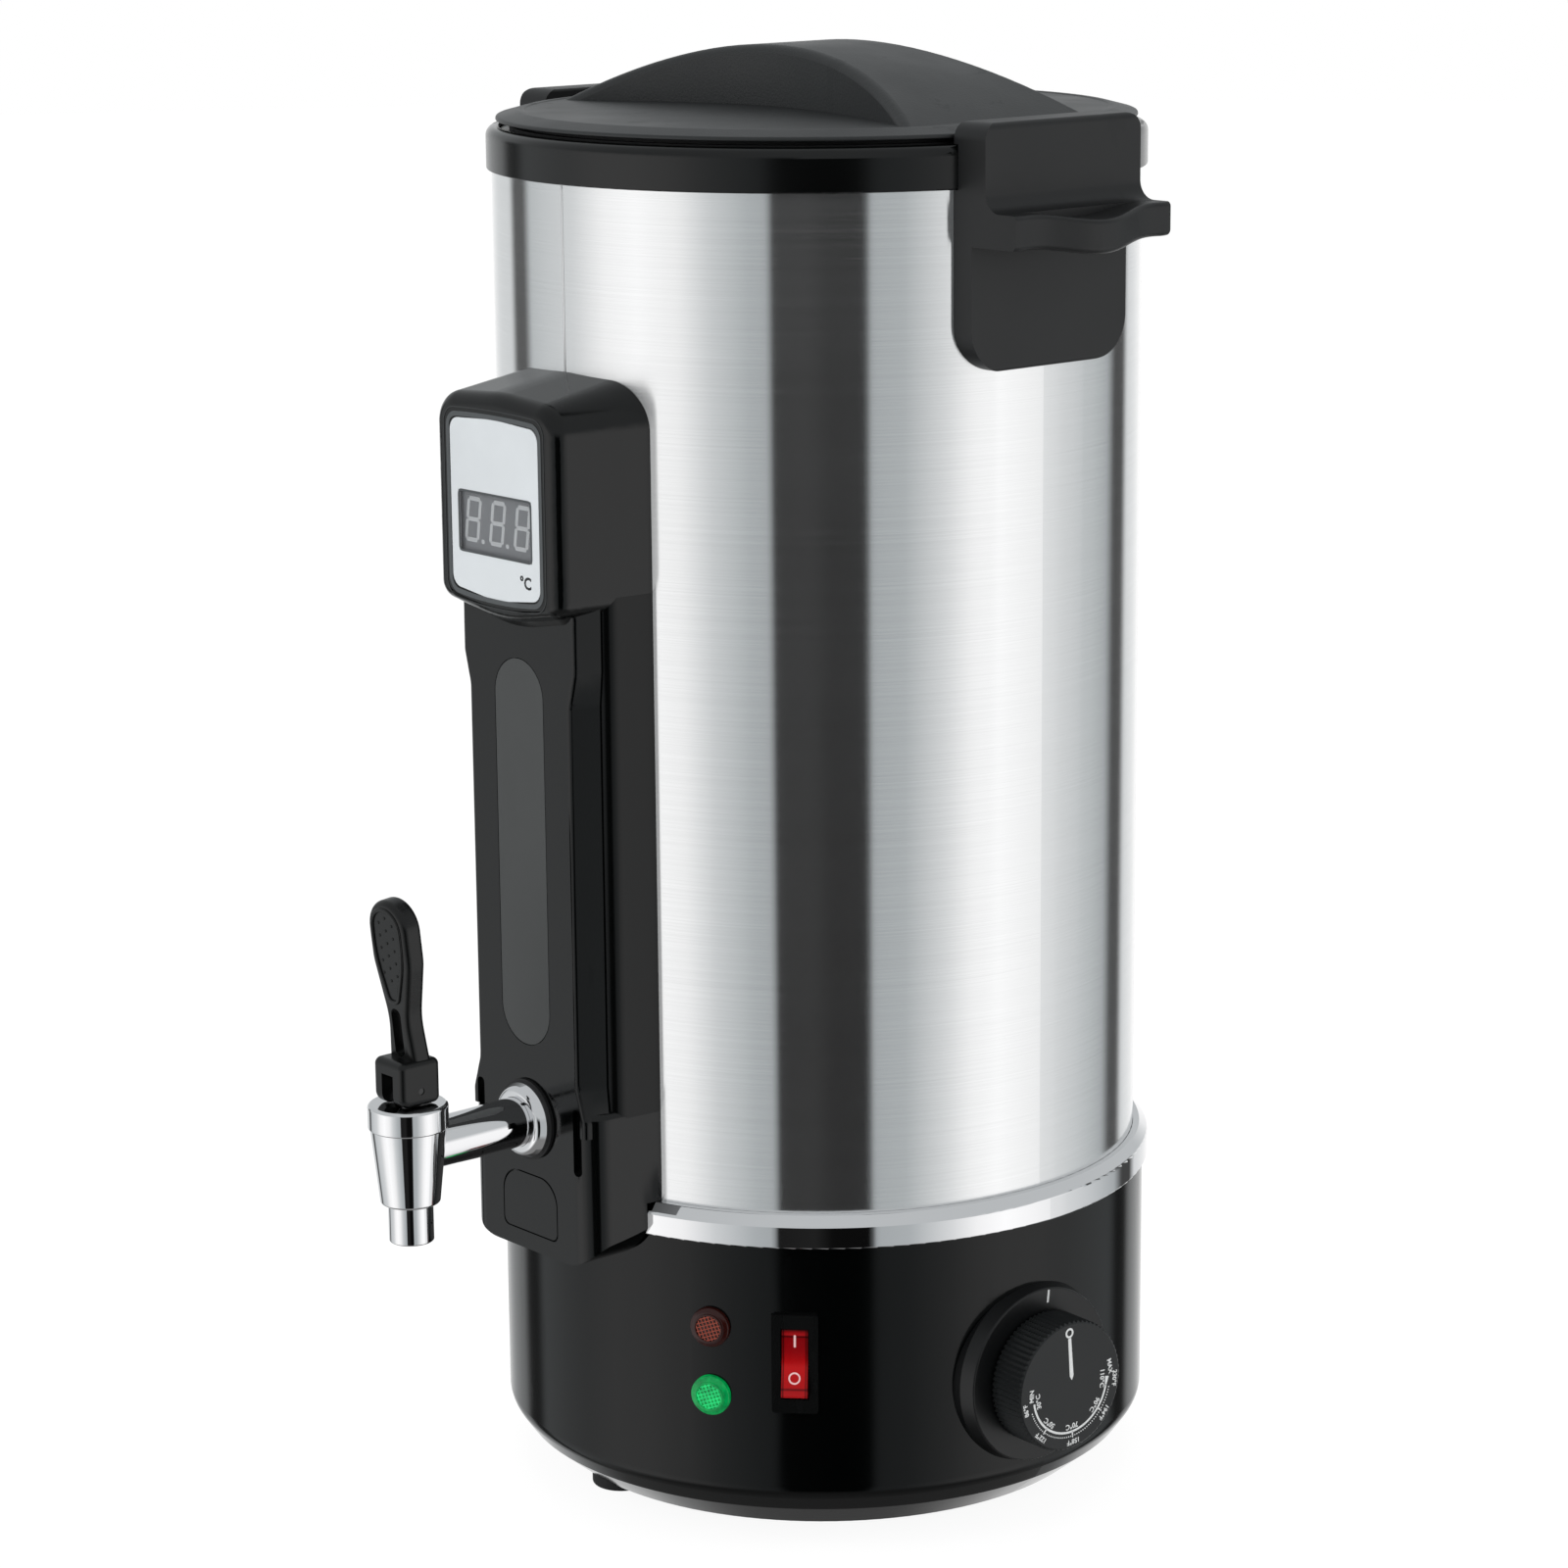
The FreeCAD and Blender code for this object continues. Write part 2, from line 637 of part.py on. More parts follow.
def bent_tube(points, radius, bend):
    """A round tube along straight runs joined by tangent arcs."""
    edges = []
    start = points[0]
    for index in range(1, len(points) - 1):
        corner = points[index]
        back = points[index - 1] - corner
        ahead = points[index + 1] - corner
        back.normalize()
        ahead.normalize()
        half = back.getAngle(ahead) / 2
        run = bend / math.tan(half)
        middle = back + ahead
        middle.normalize()
        first = corner + back * run
        last = corner + ahead * run
        top = corner + middle * (bend / math.sin(half) - bend)
        edges.append(Part.LineSegment(start, first).toShape())
        edges.append(Part.Arc(first, top, last).toShape())
        start = last
    edges.append(Part.LineSegment(start, points[-1]).toShape())
    path = Part.Wire(edges)
    section_wire = Part.Wire([Part.Circle(points[0], points[1] - points[0], radius).toShape()])
    return path.makePipeShell([section_wire], True, False)


# ================================================================ base
def base_profile():
    inner_edge = BASE_EDGE_R - BASE_WALL * 0.8
    return [
        (BASE_FOOT_R, BASE_Z, 1.0),
        (BASE_EDGE_R, BASE_Z + BASE_EDGE_H, 0.8),
        (BASE_R, BASE_Z + BASE_TURN_H, 7.0),
        (BASE_R, DECK_Z, 0.6),
        (BASE_DECK_IN, DECK_Z),
        (BASE_DECK_IN, DECK_Z - BASE_DECK),
        (BASE_IN, DECK_Z - BASE_DECK),
        (BASE_IN, BASE_Z + BASE_TURN_H + 1.0, 5.0),
        (inner_edge, BASE_Z + BASE_EDGE_H + 1.6, 0.5),
        (BASE_FOOT_R, FLOOR_Z + BASE_FLOOR_T),
        (BASE_FLOOR_IN, FLOOR_Z + BASE_FLOOR_T),
        (BASE_FLOOR_IN, FLOOR_Z),
        (PLATE_R + SNUG, FLOOR_Z),
        (PLATE_R + SNUG, BASE_Z),
    ]


def base_shell():
    body = ring_solid(base_profile())
    pad = box_between((-PAD_W / 2, PAD_W / 2), (PAD_REACH, BASE_IN + 1),
                      (KNOB_Z - PAD_H / 2, KNOB_Z + PAD_H / 2))
    inlet_pad = box_between(
        (-INLET_FLANGE_W / 2 - 2, INLET_FLANGE_W / 2 + 2), (INLET_PAD_REACH, BASE_IN + 1),
        (INLET_H - INLET_FLANGE_H / 2 - 2, INLET_H + INLET_FLANGE_H / 2 + 2))
    inside = pillar(BASE_IN + 1, BASE_Z, DECK_Z)
    boss = pillar(BOSS_R, FLOOR_Z, FLOOR_Z + BASE_FLOOR_T + BOSS_H, 0, -FOOT_RING_R)
    body = union([body, at_azimuth(pad.common(inside), KNOB_AZ),
                  at_azimuth(inlet_pad.common(inside), INLET_AZ)]
                 + around(boss, FOOT_ANGLES))
    return cut_all(body, base_openings())


def base_openings():
    boss_hole = pillar(FOOT_SCREW_R + SNUG, BASE_Z - 1, FLOOR_Z + BASE_FLOOR_T + BOSS_H - 1, 0, -FOOT_RING_R)
    deck_hole = pillar(DECK_SCREW_R + SNUG, DECK_Z - BASE_DECK - 1, DECK_Z + 1, 0, -DECK_SCREW_RING_R)
    cuts = around(boss_hole, FOOT_ANGLES) + around(deck_hole, DECK_SCREW_ANGLES)
    knob_cuts = [rod(PAD_HOLE_R, PAD_REACH - 2, BASE_R + 2, KNOB_Z)]
    for side in (-1, 1):
        knob_cuts.append(rod(STAT_SCREW_R + SNUG, PAD_REACH - 2, BASE_R + 2, KNOB_Z,
                             side * STAT_SCREW_PITCH / 2))
    cuts += [at_azimuth(piece, KNOB_AZ) for piece in knob_cuts]
    half = SWITCH_W / 2 + SNUG
    tall = SWITCH_TALL / 2 + SNUG
    seat = box_between((-half, half), (LAMP_SEAT, BASE_R + 2), (SWITCH_H - tall, SWITCH_H + tall))
    half = SWITCH_BODY_W / 2 + SNUG
    tall = SWITCH_BODY_TALL / 2 + SNUG
    hole = box_between((-half, half), (BASE_IN - 3, BASE_R + 2), (SWITCH_H - tall, SWITCH_H + tall))
    cuts += [at_azimuth(seat, SWITCH_AZ), at_azimuth(hole, SWITCH_AZ)]
    for height in (RED_LAMP_H, GREEN_LAMP_H):
        cuts.append(at_azimuth(rod(LAMP_R + SNUG, LAMP_SEAT, BASE_R + 2, height), LAMP_AZ))
        cuts.append(at_azimuth(rod(LAMP_BODY_R + SNUG, BASE_IN - 3, BASE_R + 2, height), LAMP_AZ))
    half = INLET_FLANGE_W / 2 + SNUG
    tall = INLET_FLANGE_H / 2 + SNUG
    seat = box_between((-half, half), (INLET_SEAT, BASE_R + 2), (INLET_H - tall, INLET_H + tall))
    half = INLET_BODY_W / 2 + SNUG
    tall = INLET_BODY_H / 2 + SNUG
    hole = box_between((-half, half), (INLET_PAD_REACH - 2, BASE_R + 2), (INLET_H - tall, INLET_H + tall))
    inlet_cuts = [seat, hole]
    for side in (-1, 1):
        inlet_cuts.append(rod(INLET_SCREW_R + SNUG, INLET_PAD_REACH - 2, BASE_R, INLET_H,
                              side * INLET_SCREW_PITCH / 2))
    return cuts + [at_azimuth(piece, INLET_AZ) for piece in inlet_cuts]


def base_plate():
    plate = pillar(PLATE_R, BASE_Z, FLOOR_Z)
    slot = Part.Face(closed_wire(
        [(-VENT_W / 2, -VENT_OUT, VENT_W * 0.49), (VENT_W / 2, -VENT_OUT, VENT_W * 0.49),
         (VENT_W / 2, -VENT_IN, VENT_W * 0.49), (-VENT_W / 2, -VENT_IN, VENT_W * 0.49)],
        plan(BASE_Z - 1))).extrude(V(0, 0, PLATE_T + 2))
    hole = pillar(FOOT_SCREW_R + SNUG, BASE_Z - 1, FLOOR_Z + 1, 0, -FOOT_RING_R)
    turns = [step * 360.0 / VENT_COUNT for step in range(VENT_COUNT)]
    return cut_all(plate, around(slot, turns) + around(hole, FOOT_ANGLES))


def rubber_feet():
    foot = post_solid(
        [(FOOT_SCREW_R + SNUG, FOOT_RECESS), (FOOT_SCREW_HEAD_R + 0.4, FOOT_RECESS),
         (FOOT_SCREW_HEAD_R + 0.4, 0),
         (FOOT_R, 0, 1.0), (FOOT_R, FOOT_H), (FOOT_SCREW_R + SNUG, FOOT_H)], 0, -FOOT_RING_R)
    return group(around(foot, FOOT_ANGLES))


def foot_screws():
    low = FOOT_RECESS - FOOT_SCREW_HEAD_H
    screw = union([pillar(FOOT_SCREW_HEAD_R, low, FOOT_RECESS, 0, -FOOT_RING_R),
                   pillar(FOOT_SCREW_R, low, FOOT_RECESS + FOOT_SCREW_L, 0, -FOOT_RING_R)])
    return group(around(screw, FOOT_ANGLES))


def chrome_band():
    inner = SHELL_R + SNUG
    return ring_solid([
        (inner, DECK_Z), (BAND_R, DECK_Z, 0.5), (BAND_R, BAND_TOP_Z - BAND_TAPER, 1.2),
        (BAND_NECK_R, BAND_TOP_Z, 0.5), (inner, BAND_TOP_Z)])


def shell_screws():
    low = DECK_Z - BASE_DECK - DECK_SCREW_HEAD_H
    screw = union([pillar(DECK_SCREW_HEAD_R, low, DECK_Z - BASE_DECK, 0, -DECK_SCREW_RING_R),
                   pillar(DECK_SCREW_R, low, low + DECK_SCREW_L, 0, -DECK_SCREW_RING_R)])
    return group(around(screw, DECK_SCREW_ANGLES))


# ================================================================ shell, ring and pot
def outer_shell():
    body = union([tube(SHELL_R, SHELL_IN, DECK_Z, SHELL_TOP_Z),
                  tube(SHELL_R, SHELL_IN - SHELL_LIP, DECK_Z, DECK_Z + SHELL_T)])
    inside = SHELL_IN - 2
    outside = SHELL_R + 2
    cuts = [rod(SHANK_R + SLIP, inside, outside, TAP_Z),
            rod(PROBE_R + SLIP, inside, outside, RING_Z + PROBE_H),
            rod(CABLE_HOLE_R, inside, outside, RING_Z + CABLE_HOLE_H)]
    cuts += [rod(COLUMN_SCREW_R + SNUG, inside, outside, RING_Z + height) for height in COLUMN_SCREW_HEIGHTS]
    for azimuth in (90, -90):
        for side in (-1, 1):
            hole = rod(HANDLE_SCREW_R + SNUG, inside - 3, outside, RING_Z + HANDLE_SCREW_H,
                       side * HANDLE_SCREW_PITCH / 2)
            cuts.append(at_azimuth(hole, azimuth))
    hole = pillar(DECK_SCREW_R + SNUG, DECK_Z - 1, DECK_Z + SHELL_T + 1, 0, -DECK_SCREW_RING_R)
    return cut_all(body, cuts + around(hole, DECK_SCREW_ANGLES))


def top_ring():
    groove_in = SHELL_IN - SNUG
    groove_out = SHELL_R + SNUG
    groove_top = SHELL_TOP_Z + SNUG
    skirt = RING_TOP_Z - RING_SKIRT
    return ring_solid([
        (groove_out, RING_Z), (RING_R, RING_Z, 0.4), (RING_R, RING_TOP_Z, RING_ROUND),
        (RING_SHOULDER_R, RING_TOP_Z, 0.3), (RING_SHOULDER_R, POT_SEAT_Z), (RING_IN, POT_SEAT_Z),
        (RING_IN, skirt), (groove_in, skirt), (groove_in, groove_top), (groove_out, groove_top)])


def inner_pot():
    pot = ring_solid([
        (0, POT_UNDER_Z), (POT_R, POT_UNDER_Z, POT_CORNER), (POT_R, POT_SEAT_Z), (POT_FLANGE_R, POT_SEAT_Z),
        (POT_FLANGE_R, POT_TOP_Z), (POT_IN, POT_TOP_Z, POT_T), (POT_IN, POT_FLOOR_Z, POT_CORNER - POT_T),
        (0, POT_FLOOR_Z)])
    return pot.cut([rod(SHANK_R + SNUG, POT_IN - 3, POT_R + 2, TAP_Z),
                    rod(PROBE_R + FIT, POT_IN - 3, POT_R + 2, RING_Z + PROBE_H)])


# ================================================================ heater
def pot_stud():
    return pillar(STUD_R, STUD_Z, POT_UNDER_Z)


def heater_plate():
    return tube(HEATER_R, STUD_R + SNUG, HEATER_Z, POT_UNDER_Z)


def heating_element():
    """Sheathed element: an open ring whose two ends turn down towards the base."""
    gap = (360.0 - ELEMENT_SWEEP) / 2
    ring = Part.makeTorus(ELEMENT_R, ELEMENT_TUBE_R, V(0, 0, ELEMENT_Z), UP, 0, 360, ELEMENT_SWEEP)
    ring.rotate(V(0, 0, 0), UP, 90 + gap)
    parts = [ring]
    for turn in (180 - gap, 180 + gap):
        spot = outward(turn) * ELEMENT_R
        parts.append(pillar(ELEMENT_TUBE_R, ELEMENT_Z - ELEMENT_LEG, ELEMENT_Z, spot.x, spot.y))
        parts.append(Part.makeSphere(ELEMENT_TUBE_R, V(spot.x, spot.y, ELEMENT_Z)))
    return union(parts)


def heater_clamp():
    bar = Part.makeBox(CLAMP_L, CLAMP_W, CLAMP_T, V(-CLAMP_L / 2, -CLAMP_W / 2, CLAMP_Z))
    return bar.cut(pillar(STUD_R + SNUG, CLAMP_Z - 1, CLAMP_Z + CLAMP_T + 1))


def stud_nuts():
    """One nut under the clamp, one above and one below the heat shield."""
    lows = (CLAMP_Z - NUT_H, SHIELD_Z - NUT_H)
    nuts = []
    for low in lows:
        nuts.append(hex_prism(NUT_FLATS, low,
                              low + NUT_H).cut(pillar(STUD_R + SNUG, low - 1, low + NUT_H + 1)))
    return group(nuts)


def heat_shield():
    disc = tube(SHIELD_R, STUD_R + SNUG, SHIELD_Z, SHIELD_Z + SHIELD_T)
    return cut_all(disc,
                   [pillar(SHIELD_HOLE_R, SHIELD_Z - 1, SHIELD_Z + 2, spot.x, spot.y)
                    for spot in shield_holes()])


def shield_holes():
    """Where the capillary and the element's leads pass the shield."""
    gap = (360.0 - ELEMENT_SWEEP) / 2
    legs = [outward(turn) * ELEMENT_R for turn in (180 - gap, 180 + gap)]
    return [V(BULB_L / 2 + BULB_ELBOW, BULB_Y, 0)] + legs


def thermal_cutout():
    body = pillar(CUTOUT_R, HEATER_Z - CUTOUT_H, HEATER_Z, 0, CUTOUT_Y)
    tabs = []
    for side in (-1, 1):
        tabs.append(Part.makeBox(TAB_L, TAB_T, TAB_W, V(side * (CUTOUT_R + TAB_L / 2 - 3) - TAB_L / 2,
                                                      CUTOUT_Y - TAB_T / 2, HEATER_Z - CUTOUT_H)))
    return union([body] + tabs)


def thermostat_bulb():
    """Liquid-filled bulb under the plate, with the capillary that runs down to the thermostat."""
    height = HEATER_Z - BULB_R
    start = -BULB_L / 2
    bulb = Part.makeCylinder(BULB_R, BULB_L, V(start, BULB_Y, height), V(1, 0, 0))
    down = V(BULB_L / 2 + BULB_ELBOW, BULB_Y, 0)
    body_top = V(0, 0, 0) + outward(KNOB_AZ) * (PAD_REACH - STAT_D * 0.6)
    turn_z = KNOB_Z + STAT_H / 2 + CAPILLARY_RISE
    points = [V(BULB_L / 2 - 1, BULB_Y, height), V(down.x, down.y, height), V(down.x, down.y, turn_z),
              V(body_top.x, body_top.y, turn_z), V(body_top.x, body_top.y, KNOB_Z + STAT_H / 2)]
    return union([bulb, bent_tube(points, CAPILLARY_R, CAPILLARY_BEND)])


# ================================================================ thermostat and knob
def thermostat_body():
    plate_in = PAD_REACH - STAT_PLATE_T
    plate = box_between((-STAT_PLATE_W / 2, STAT_PLATE_W / 2), (plate_in, PAD_REACH),
                        (KNOB_Z - STAT_PLATE_H / 2, KNOB_Z + STAT_PLATE_H / 2))
    body = box_between((-STAT_W / 2, STAT_W / 2), (plate_in - STAT_D, plate_in),
                       (KNOB_Z - STAT_H / 2, KNOB_Z + STAT_H / 2))
    whole = union([plate, body])
    cuts = [rod(SPINDLE_R + FIT, SPINDLE_IN - SLIP, PAD_REACH + 1, KNOB_Z)]
    for side in (-1, 1):
        cuts.append(rod(STAT_SCREW_R + SNUG, plate_in - 2, PAD_REACH + 1, KNOB_Z,
                        side * STAT_SCREW_PITCH / 2))
    return at_azimuth(whole.cut(cuts), KNOB_AZ)


def thermostat_screws():
    floor = BEZEL_FACE - STAT_SCREW_HEAD_H
    screws = []
    for side in (-1, 1):
        across = side * STAT_SCREW_PITCH / 2
        screw = union([rod(STAT_SCREW_HEAD_R, floor, BEZEL_FACE, KNOB_Z, across),
                       rod(STAT_SCREW_R, PAD_REACH - STAT_PLATE_T - 1, BEZEL_FACE, KNOB_Z, across)])
        screws.append(at_azimuth(screw, KNOB_AZ))
    return group(screws)


def knob_bezel():
    disc = ring_about_reach([
        (BEZEL_HOLE_R, BASE_R - 6), (BEZEL_FOOT_R, BASE_R - 6), (BEZEL_FOOT_R, BASE_R - 1),
        (BEZEL_R, BEZEL_FACE, 0.6), (BEZEL_HOLE_R, BEZEL_FACE)], KNOB_Z)
    seat = pillar(BASE_R + FIT, 0, DECK_Z)
    cuts = [seat]
    floor = BEZEL_FACE - STAT_SCREW_HEAD_H
    for side in (-1, 1):
        across = side * STAT_SCREW_PITCH / 2
        cuts.append(rod(STAT_SCREW_HEAD_R + SNUG, floor, BEZEL_FACE + 1, KNOB_Z, across))
        cuts.append(rod(STAT_SCREW_R + SNUG, BASE_IN, BEZEL_FACE + 1, KNOB_Z, across))
    return at_azimuth(disc.cut(cuts), KNOB_AZ)


def ring_about_reach(corners, height, across=0.0):
    """A solid of revolution about an axis along -Y, from its (radius, reach) outline."""
    wire = closed_wire(corners, lambda radius, reach: V(across + radius, -reach, height))
    return Part.Face(wire).revolve(V(across, 0, height), V(0, 1, 0), 360)


def control_knob():
    points = []
    for step in range(KNOB_TEETH * 2):
        radius = KNOB_R - (step % 2) * KNOB_TOOTH
        angle = math.radians(step * 180.0 / KNOB_TEETH)
        points.append((radius * math.sin(angle), KNOB_Z + radius * math.cos(angle)))
    body = out_prism(points, KNOB_BACK, KNOB_FACE)
    chamfer = ring_about_reach([
        (0, KNOB_BACK - 1), (KNOB_R + 1, KNOB_BACK - 1), (KNOB_R + 1, KNOB_FACE - 1.6),
        (KNOB_R - 0.9, KNOB_FACE), (0, KNOB_FACE)], KNOB_Z)
    body = body.common(chamfer)
    hollow = ring_about_reach([
        (KNOB_HUB_R, KNOB_BACK - 1), (KNOB_R - KNOB_WALL, KNOB_BACK - 1),
        (KNOB_R - KNOB_WALL, KNOB_FACE - KNOB_FACE_T), (KNOB_HUB_R, KNOB_FACE - KNOB_FACE_T)], KNOB_Z)
    bore = rod(SPINDLE_R + FIT, KNOB_BACK - 1, KNOB_FACE - KNOB_FACE_T, KNOB_Z)
    return at_azimuth(body.cut([hollow, bore]), KNOB_AZ)


def knob_spindle():
    return at_azimuth(rod(SPINDLE_R, SPINDLE_IN, KNOB_FACE - KNOB_FACE_T - SNUG, KNOB_Z), KNOB_AZ)


# ================================================================ switch and lamps
def switch_housing():
    seat = BASE_R - SWITCH_SEAT
    bezel = out_prism(rounded_box(SWITCH_W / 2, SWITCH_H - SWITCH_TALL / 2, SWITCH_H + SWITCH_TALL / 2, 1.0),
                      seat, SWITCH_FACE)
    half = SWITCH_BODY_W / 2
    tall = SWITCH_BODY_TALL / 2
    body = box_between((-half, half), (seat - SWITCH_BODY_D, seat), (SWITCH_H - tall, SWITCH_H + tall))
    half = ROCKER_W / 2 + SLIP
    tall = ROCKER_TALL / 2 + SLIP
    well = box_between((-half, half), (ROCKER_PIVOT - ROCKER_ROOT - 2.5, SWITCH_FACE + 1),
                       (SWITCH_H - tall, SWITCH_H + tall))
    bore = Part.makeCylinder(ROCKER_PIN_R + FIT, ROCKER_W + 3,
                             V(-ROCKER_W / 2 - 1.5, -ROCKER_PIVOT, SWITCH_H), V(1, 0, 0))
    return at_azimuth(union([bezel, body]).cut([well, bore]), SWITCH_AZ)


def switch_rocker():
    """Red rocker, stored with its upper end pressed in."""
    end = ROCKER_TALL / 2 - 0.4
    pivot = ROCKER_PIVOT
    outline = [(pivot + ROCKER_RISE, SWITCH_H - end, 0.6), (pivot + ROCKER_DIP, SWITCH_H, 12.0),
               (pivot + ROCKER_RISE, SWITCH_H + end, 0.6), (pivot + 0.5, SWITCH_H + end),
               (pivot - ROCKER_ROOT, SWITCH_H + end * 0.45), (pivot - ROCKER_ROOT, SWITCH_H - end * 0.45),
               (pivot + 0.5, SWITCH_H - end)]
    face = Part.Face(closed_wire(outline, section(-ROCKER_W / 2)))
    body = face.extrude(V(ROCKER_W, 0, 0))
    pins = Part.makeCylinder(ROCKER_PIN_R, ROCKER_W + 2.4, V(-ROCKER_W / 2 - 1.2, -pivot, SWITCH_H),
                             V(1, 0, 0))
    rocker = union([body, pins])
    rocker.rotate(V(0, -pivot, SWITCH_H), V(1, 0, 0), -ROCKER_TILT)
    return at_azimuth(rocker, SWITCH_AZ)


def switch_terminals():
    inner = BASE_R - SWITCH_SEAT - SWITCH_BODY_D
    tabs = []
    for step in (-1, 0, 1):
        height = SWITCH_H + step * TAB_PITCH
        tab = box_between((-TAB_T / 2, TAB_T / 2), (inner - TAB_L, inner),
                          (height - TAB_W / 2, height + TAB_W / 2))
        tabs.append(at_azimuth(tab, SWITCH_AZ))
    return group(tabs)


def lamp(height):
    """Neon indicator: lens flange in front, barrel and two legs behind."""
    lens = ring_about_reach([
        (0, LAMP_SEAT), (LAMP_R, LAMP_SEAT), (LAMP_R, LAMP_SEAT + LAMP_LIP, 0.5),
        (LAMP_R * 0.8, LAMP_SEAT + LAMP_LIP + LAMP_DOME * 0.7, 2.0), (0, LAMP_SEAT + LAMP_LIP + LAMP_DOME)],
        height)
    barrel = rod(LAMP_BODY_R, LAMP_SEAT - LAMP_BODY_D, LAMP_SEAT, height)
    inner = LAMP_SEAT - LAMP_BODY_D
    legs = []
    for side in (-1, 1):
        middle = side * LAMP_LEG_PITCH / 2
        legs.append(box_between((middle - TAB_T / 2, middle + TAB_T / 2), (inner - LAMP_LEG, inner + 1),
                                (height - LAMP_LEG_HALF, height + LAMP_LEG_HALF)))
    return at_azimuth(union([lens, barrel] + legs), LAMP_AZ)


def red_lamp():
    return lamp(RED_LAMP_H)


def green_lamp():
    return lamp(GREEN_LAMP_H)


def lamp_nuts():
    wall = math.sqrt(BASE_IN ** 2 - (LAMP_NUT_FLATS * 0.58) ** 2)
    nuts = []
    for height in (RED_LAMP_H, GREEN_LAMP_H):
        nut = hex_out(LAMP_NUT_FLATS, wall - LAMP_NUT_H, wall, height)
        nut = nut.cut(rod(LAMP_BODY_R + SNUG, wall - LAMP_NUT_H - 1, wall + 1, height))
        nuts.append(at_azimuth(nut, LAMP_AZ))
    return group(nuts)


# ================================================================ mains inlet
def power_inlet():
    outer = INLET_SEAT + INLET_FLANGE_T
    flange = out_prism(rounded_box(INLET_FLANGE_W / 2, INLET_H - INLET_FLANGE_H / 2,
                                   INLET_H + INLET_FLANGE_H / 2, 3.0),
                       INLET_SEAT, outer)
    half = INLET_BODY_W / 2
    tall = INLET_BODY_H / 2
    body = box_between((-half, half), (INLET_SEAT - INLET_BODY_D, INLET_SEAT),
                       (INLET_H - tall, INLET_H + tall))
    half = INLET_SOCKET_W / 2
    tall = INLET_SOCKET_H / 2
    chamfer = 4.5
    mouth = [(-half, INLET_H - tall), (half, INLET_H - tall), (half, INLET_H + tall - chamfer),
             (half - chamfer, INLET_H + tall), (chamfer - half, INLET_H + tall),
             (-half, INLET_H + tall - chamfer)]
    socket = out_prism(mouth, outer - INLET_SOCKET_D, outer + 1)
    cuts = [socket]
    for across, rise in inlet_pin_spots():
        cuts.append(pin_box(across, rise, INLET_SEAT - INLET_BODY_D - 1, outer, SNUG))
    for side in (-1, 1):
        across = side * INLET_SCREW_PITCH / 2
        cuts.append(rod(INLET_SCREW_R + SNUG, INLET_SEAT - 1, outer + 1, INLET_H, across))
        cuts.append(countersink(across, outer, SNUG))
    return at_azimuth(union([flange, body]).cut(cuts), INLET_AZ)


def inlet_pin_spots():
    return [(-INLET_PIN_PITCH, INLET_PIN_RISE), (0.0, -INLET_PIN_RISE), (INLET_PIN_PITCH, INLET_PIN_RISE)]


def pin_box(across, rise, start, end, room):
    half = INLET_PIN_T / 2 + room
    tall = INLET_PIN_W / 2 + room
    height = INLET_H - rise
    return box_between((across - half, across + half), (start, end), (height - tall, height + tall))


def countersink(across, outer, room):
    depth = INLET_SCREW_HEAD_R - INLET_SCREW_R
    return ring_about_reach([(0, outer - depth - room), (INLET_SCREW_R + room, outer - depth - room),
                             (INLET_SCREW_HEAD_R + room, outer), (0, outer)], INLET_H, across)


def inlet_pins():
    outer = INLET_SEAT + INLET_FLANGE_T - INLET_PIN_SHORT
    pins = [pin_box(across, rise, INLET_SEAT - INLET_BODY_D - TAB_L, outer, 0) for across,
            rise in inlet_pin_spots()]
    return group([at_azimuth(pin, INLET_AZ) for pin in pins])


def inlet_screws():
    outer = INLET_SEAT + INLET_FLANGE_T
    screws = []
    for side in (-1, 1):
        across = side * INLET_SCREW_PITCH / 2
        screw = union([countersink(across, outer, 0),
                       rod(INLET_SCREW_R, INLET_PAD_REACH - 1, outer - 1, INLET_H, across)])
        screws.append(at_azimuth(screw, INLET_AZ))
    return group(screws)


def terminal_block():
    block = Part.makeBox(BLOCK_L, BLOCK_W, BLOCK_H, V(BLOCK_X - BLOCK_L / 2, BLOCK_Y - BLOCK_W / 2, FLOOR_Z))
    cuts = []
    for step in (-1, 0, 1):
        x = BLOCK_X + step * BLOCK_L / 3.4
        cuts.append(pillar(2.2, FLOOR_Z + BLOCK_H - 6, FLOOR_Z + BLOCK_H + 1, x, BLOCK_Y))
    return cut_all(block, cuts)


# ================================================================ handles
def grip_bump(across):
    """How far a place along the grip belongs to its middle, 0 to 1."""
    if abs(across) >= GRIP_WAVE:
        return 0.0
    return math.cos(math.pi * across / (2 * GRIP_WAVE)) ** 2


def grip_shelf():
    """The grip lofted across the handle: its middle stands out and hangs lower."""
    wires = []
    steps = 12
    for step in range(steps + 1):
        across = -HANDLE_W / 2 + HANDLE_W * step / steps
        bump = grip_bump(across)
        top = RING_Z + GRIP_TOP - GRIP_SAG * bump
        low = top - GRIP_T
        outer = GRIP_REACH + GRIP_NOSE * bump
        corners = [(HANDLE_PLATE_REACH - 4, low), (outer, low, 2.0), (outer, top, 1.4),
                   (HANDLE_PLATE_REACH - 4, top)]
        wires.append(closed_wire(corners, section(across)))
    return Part.makeLoft(wires, True, False)


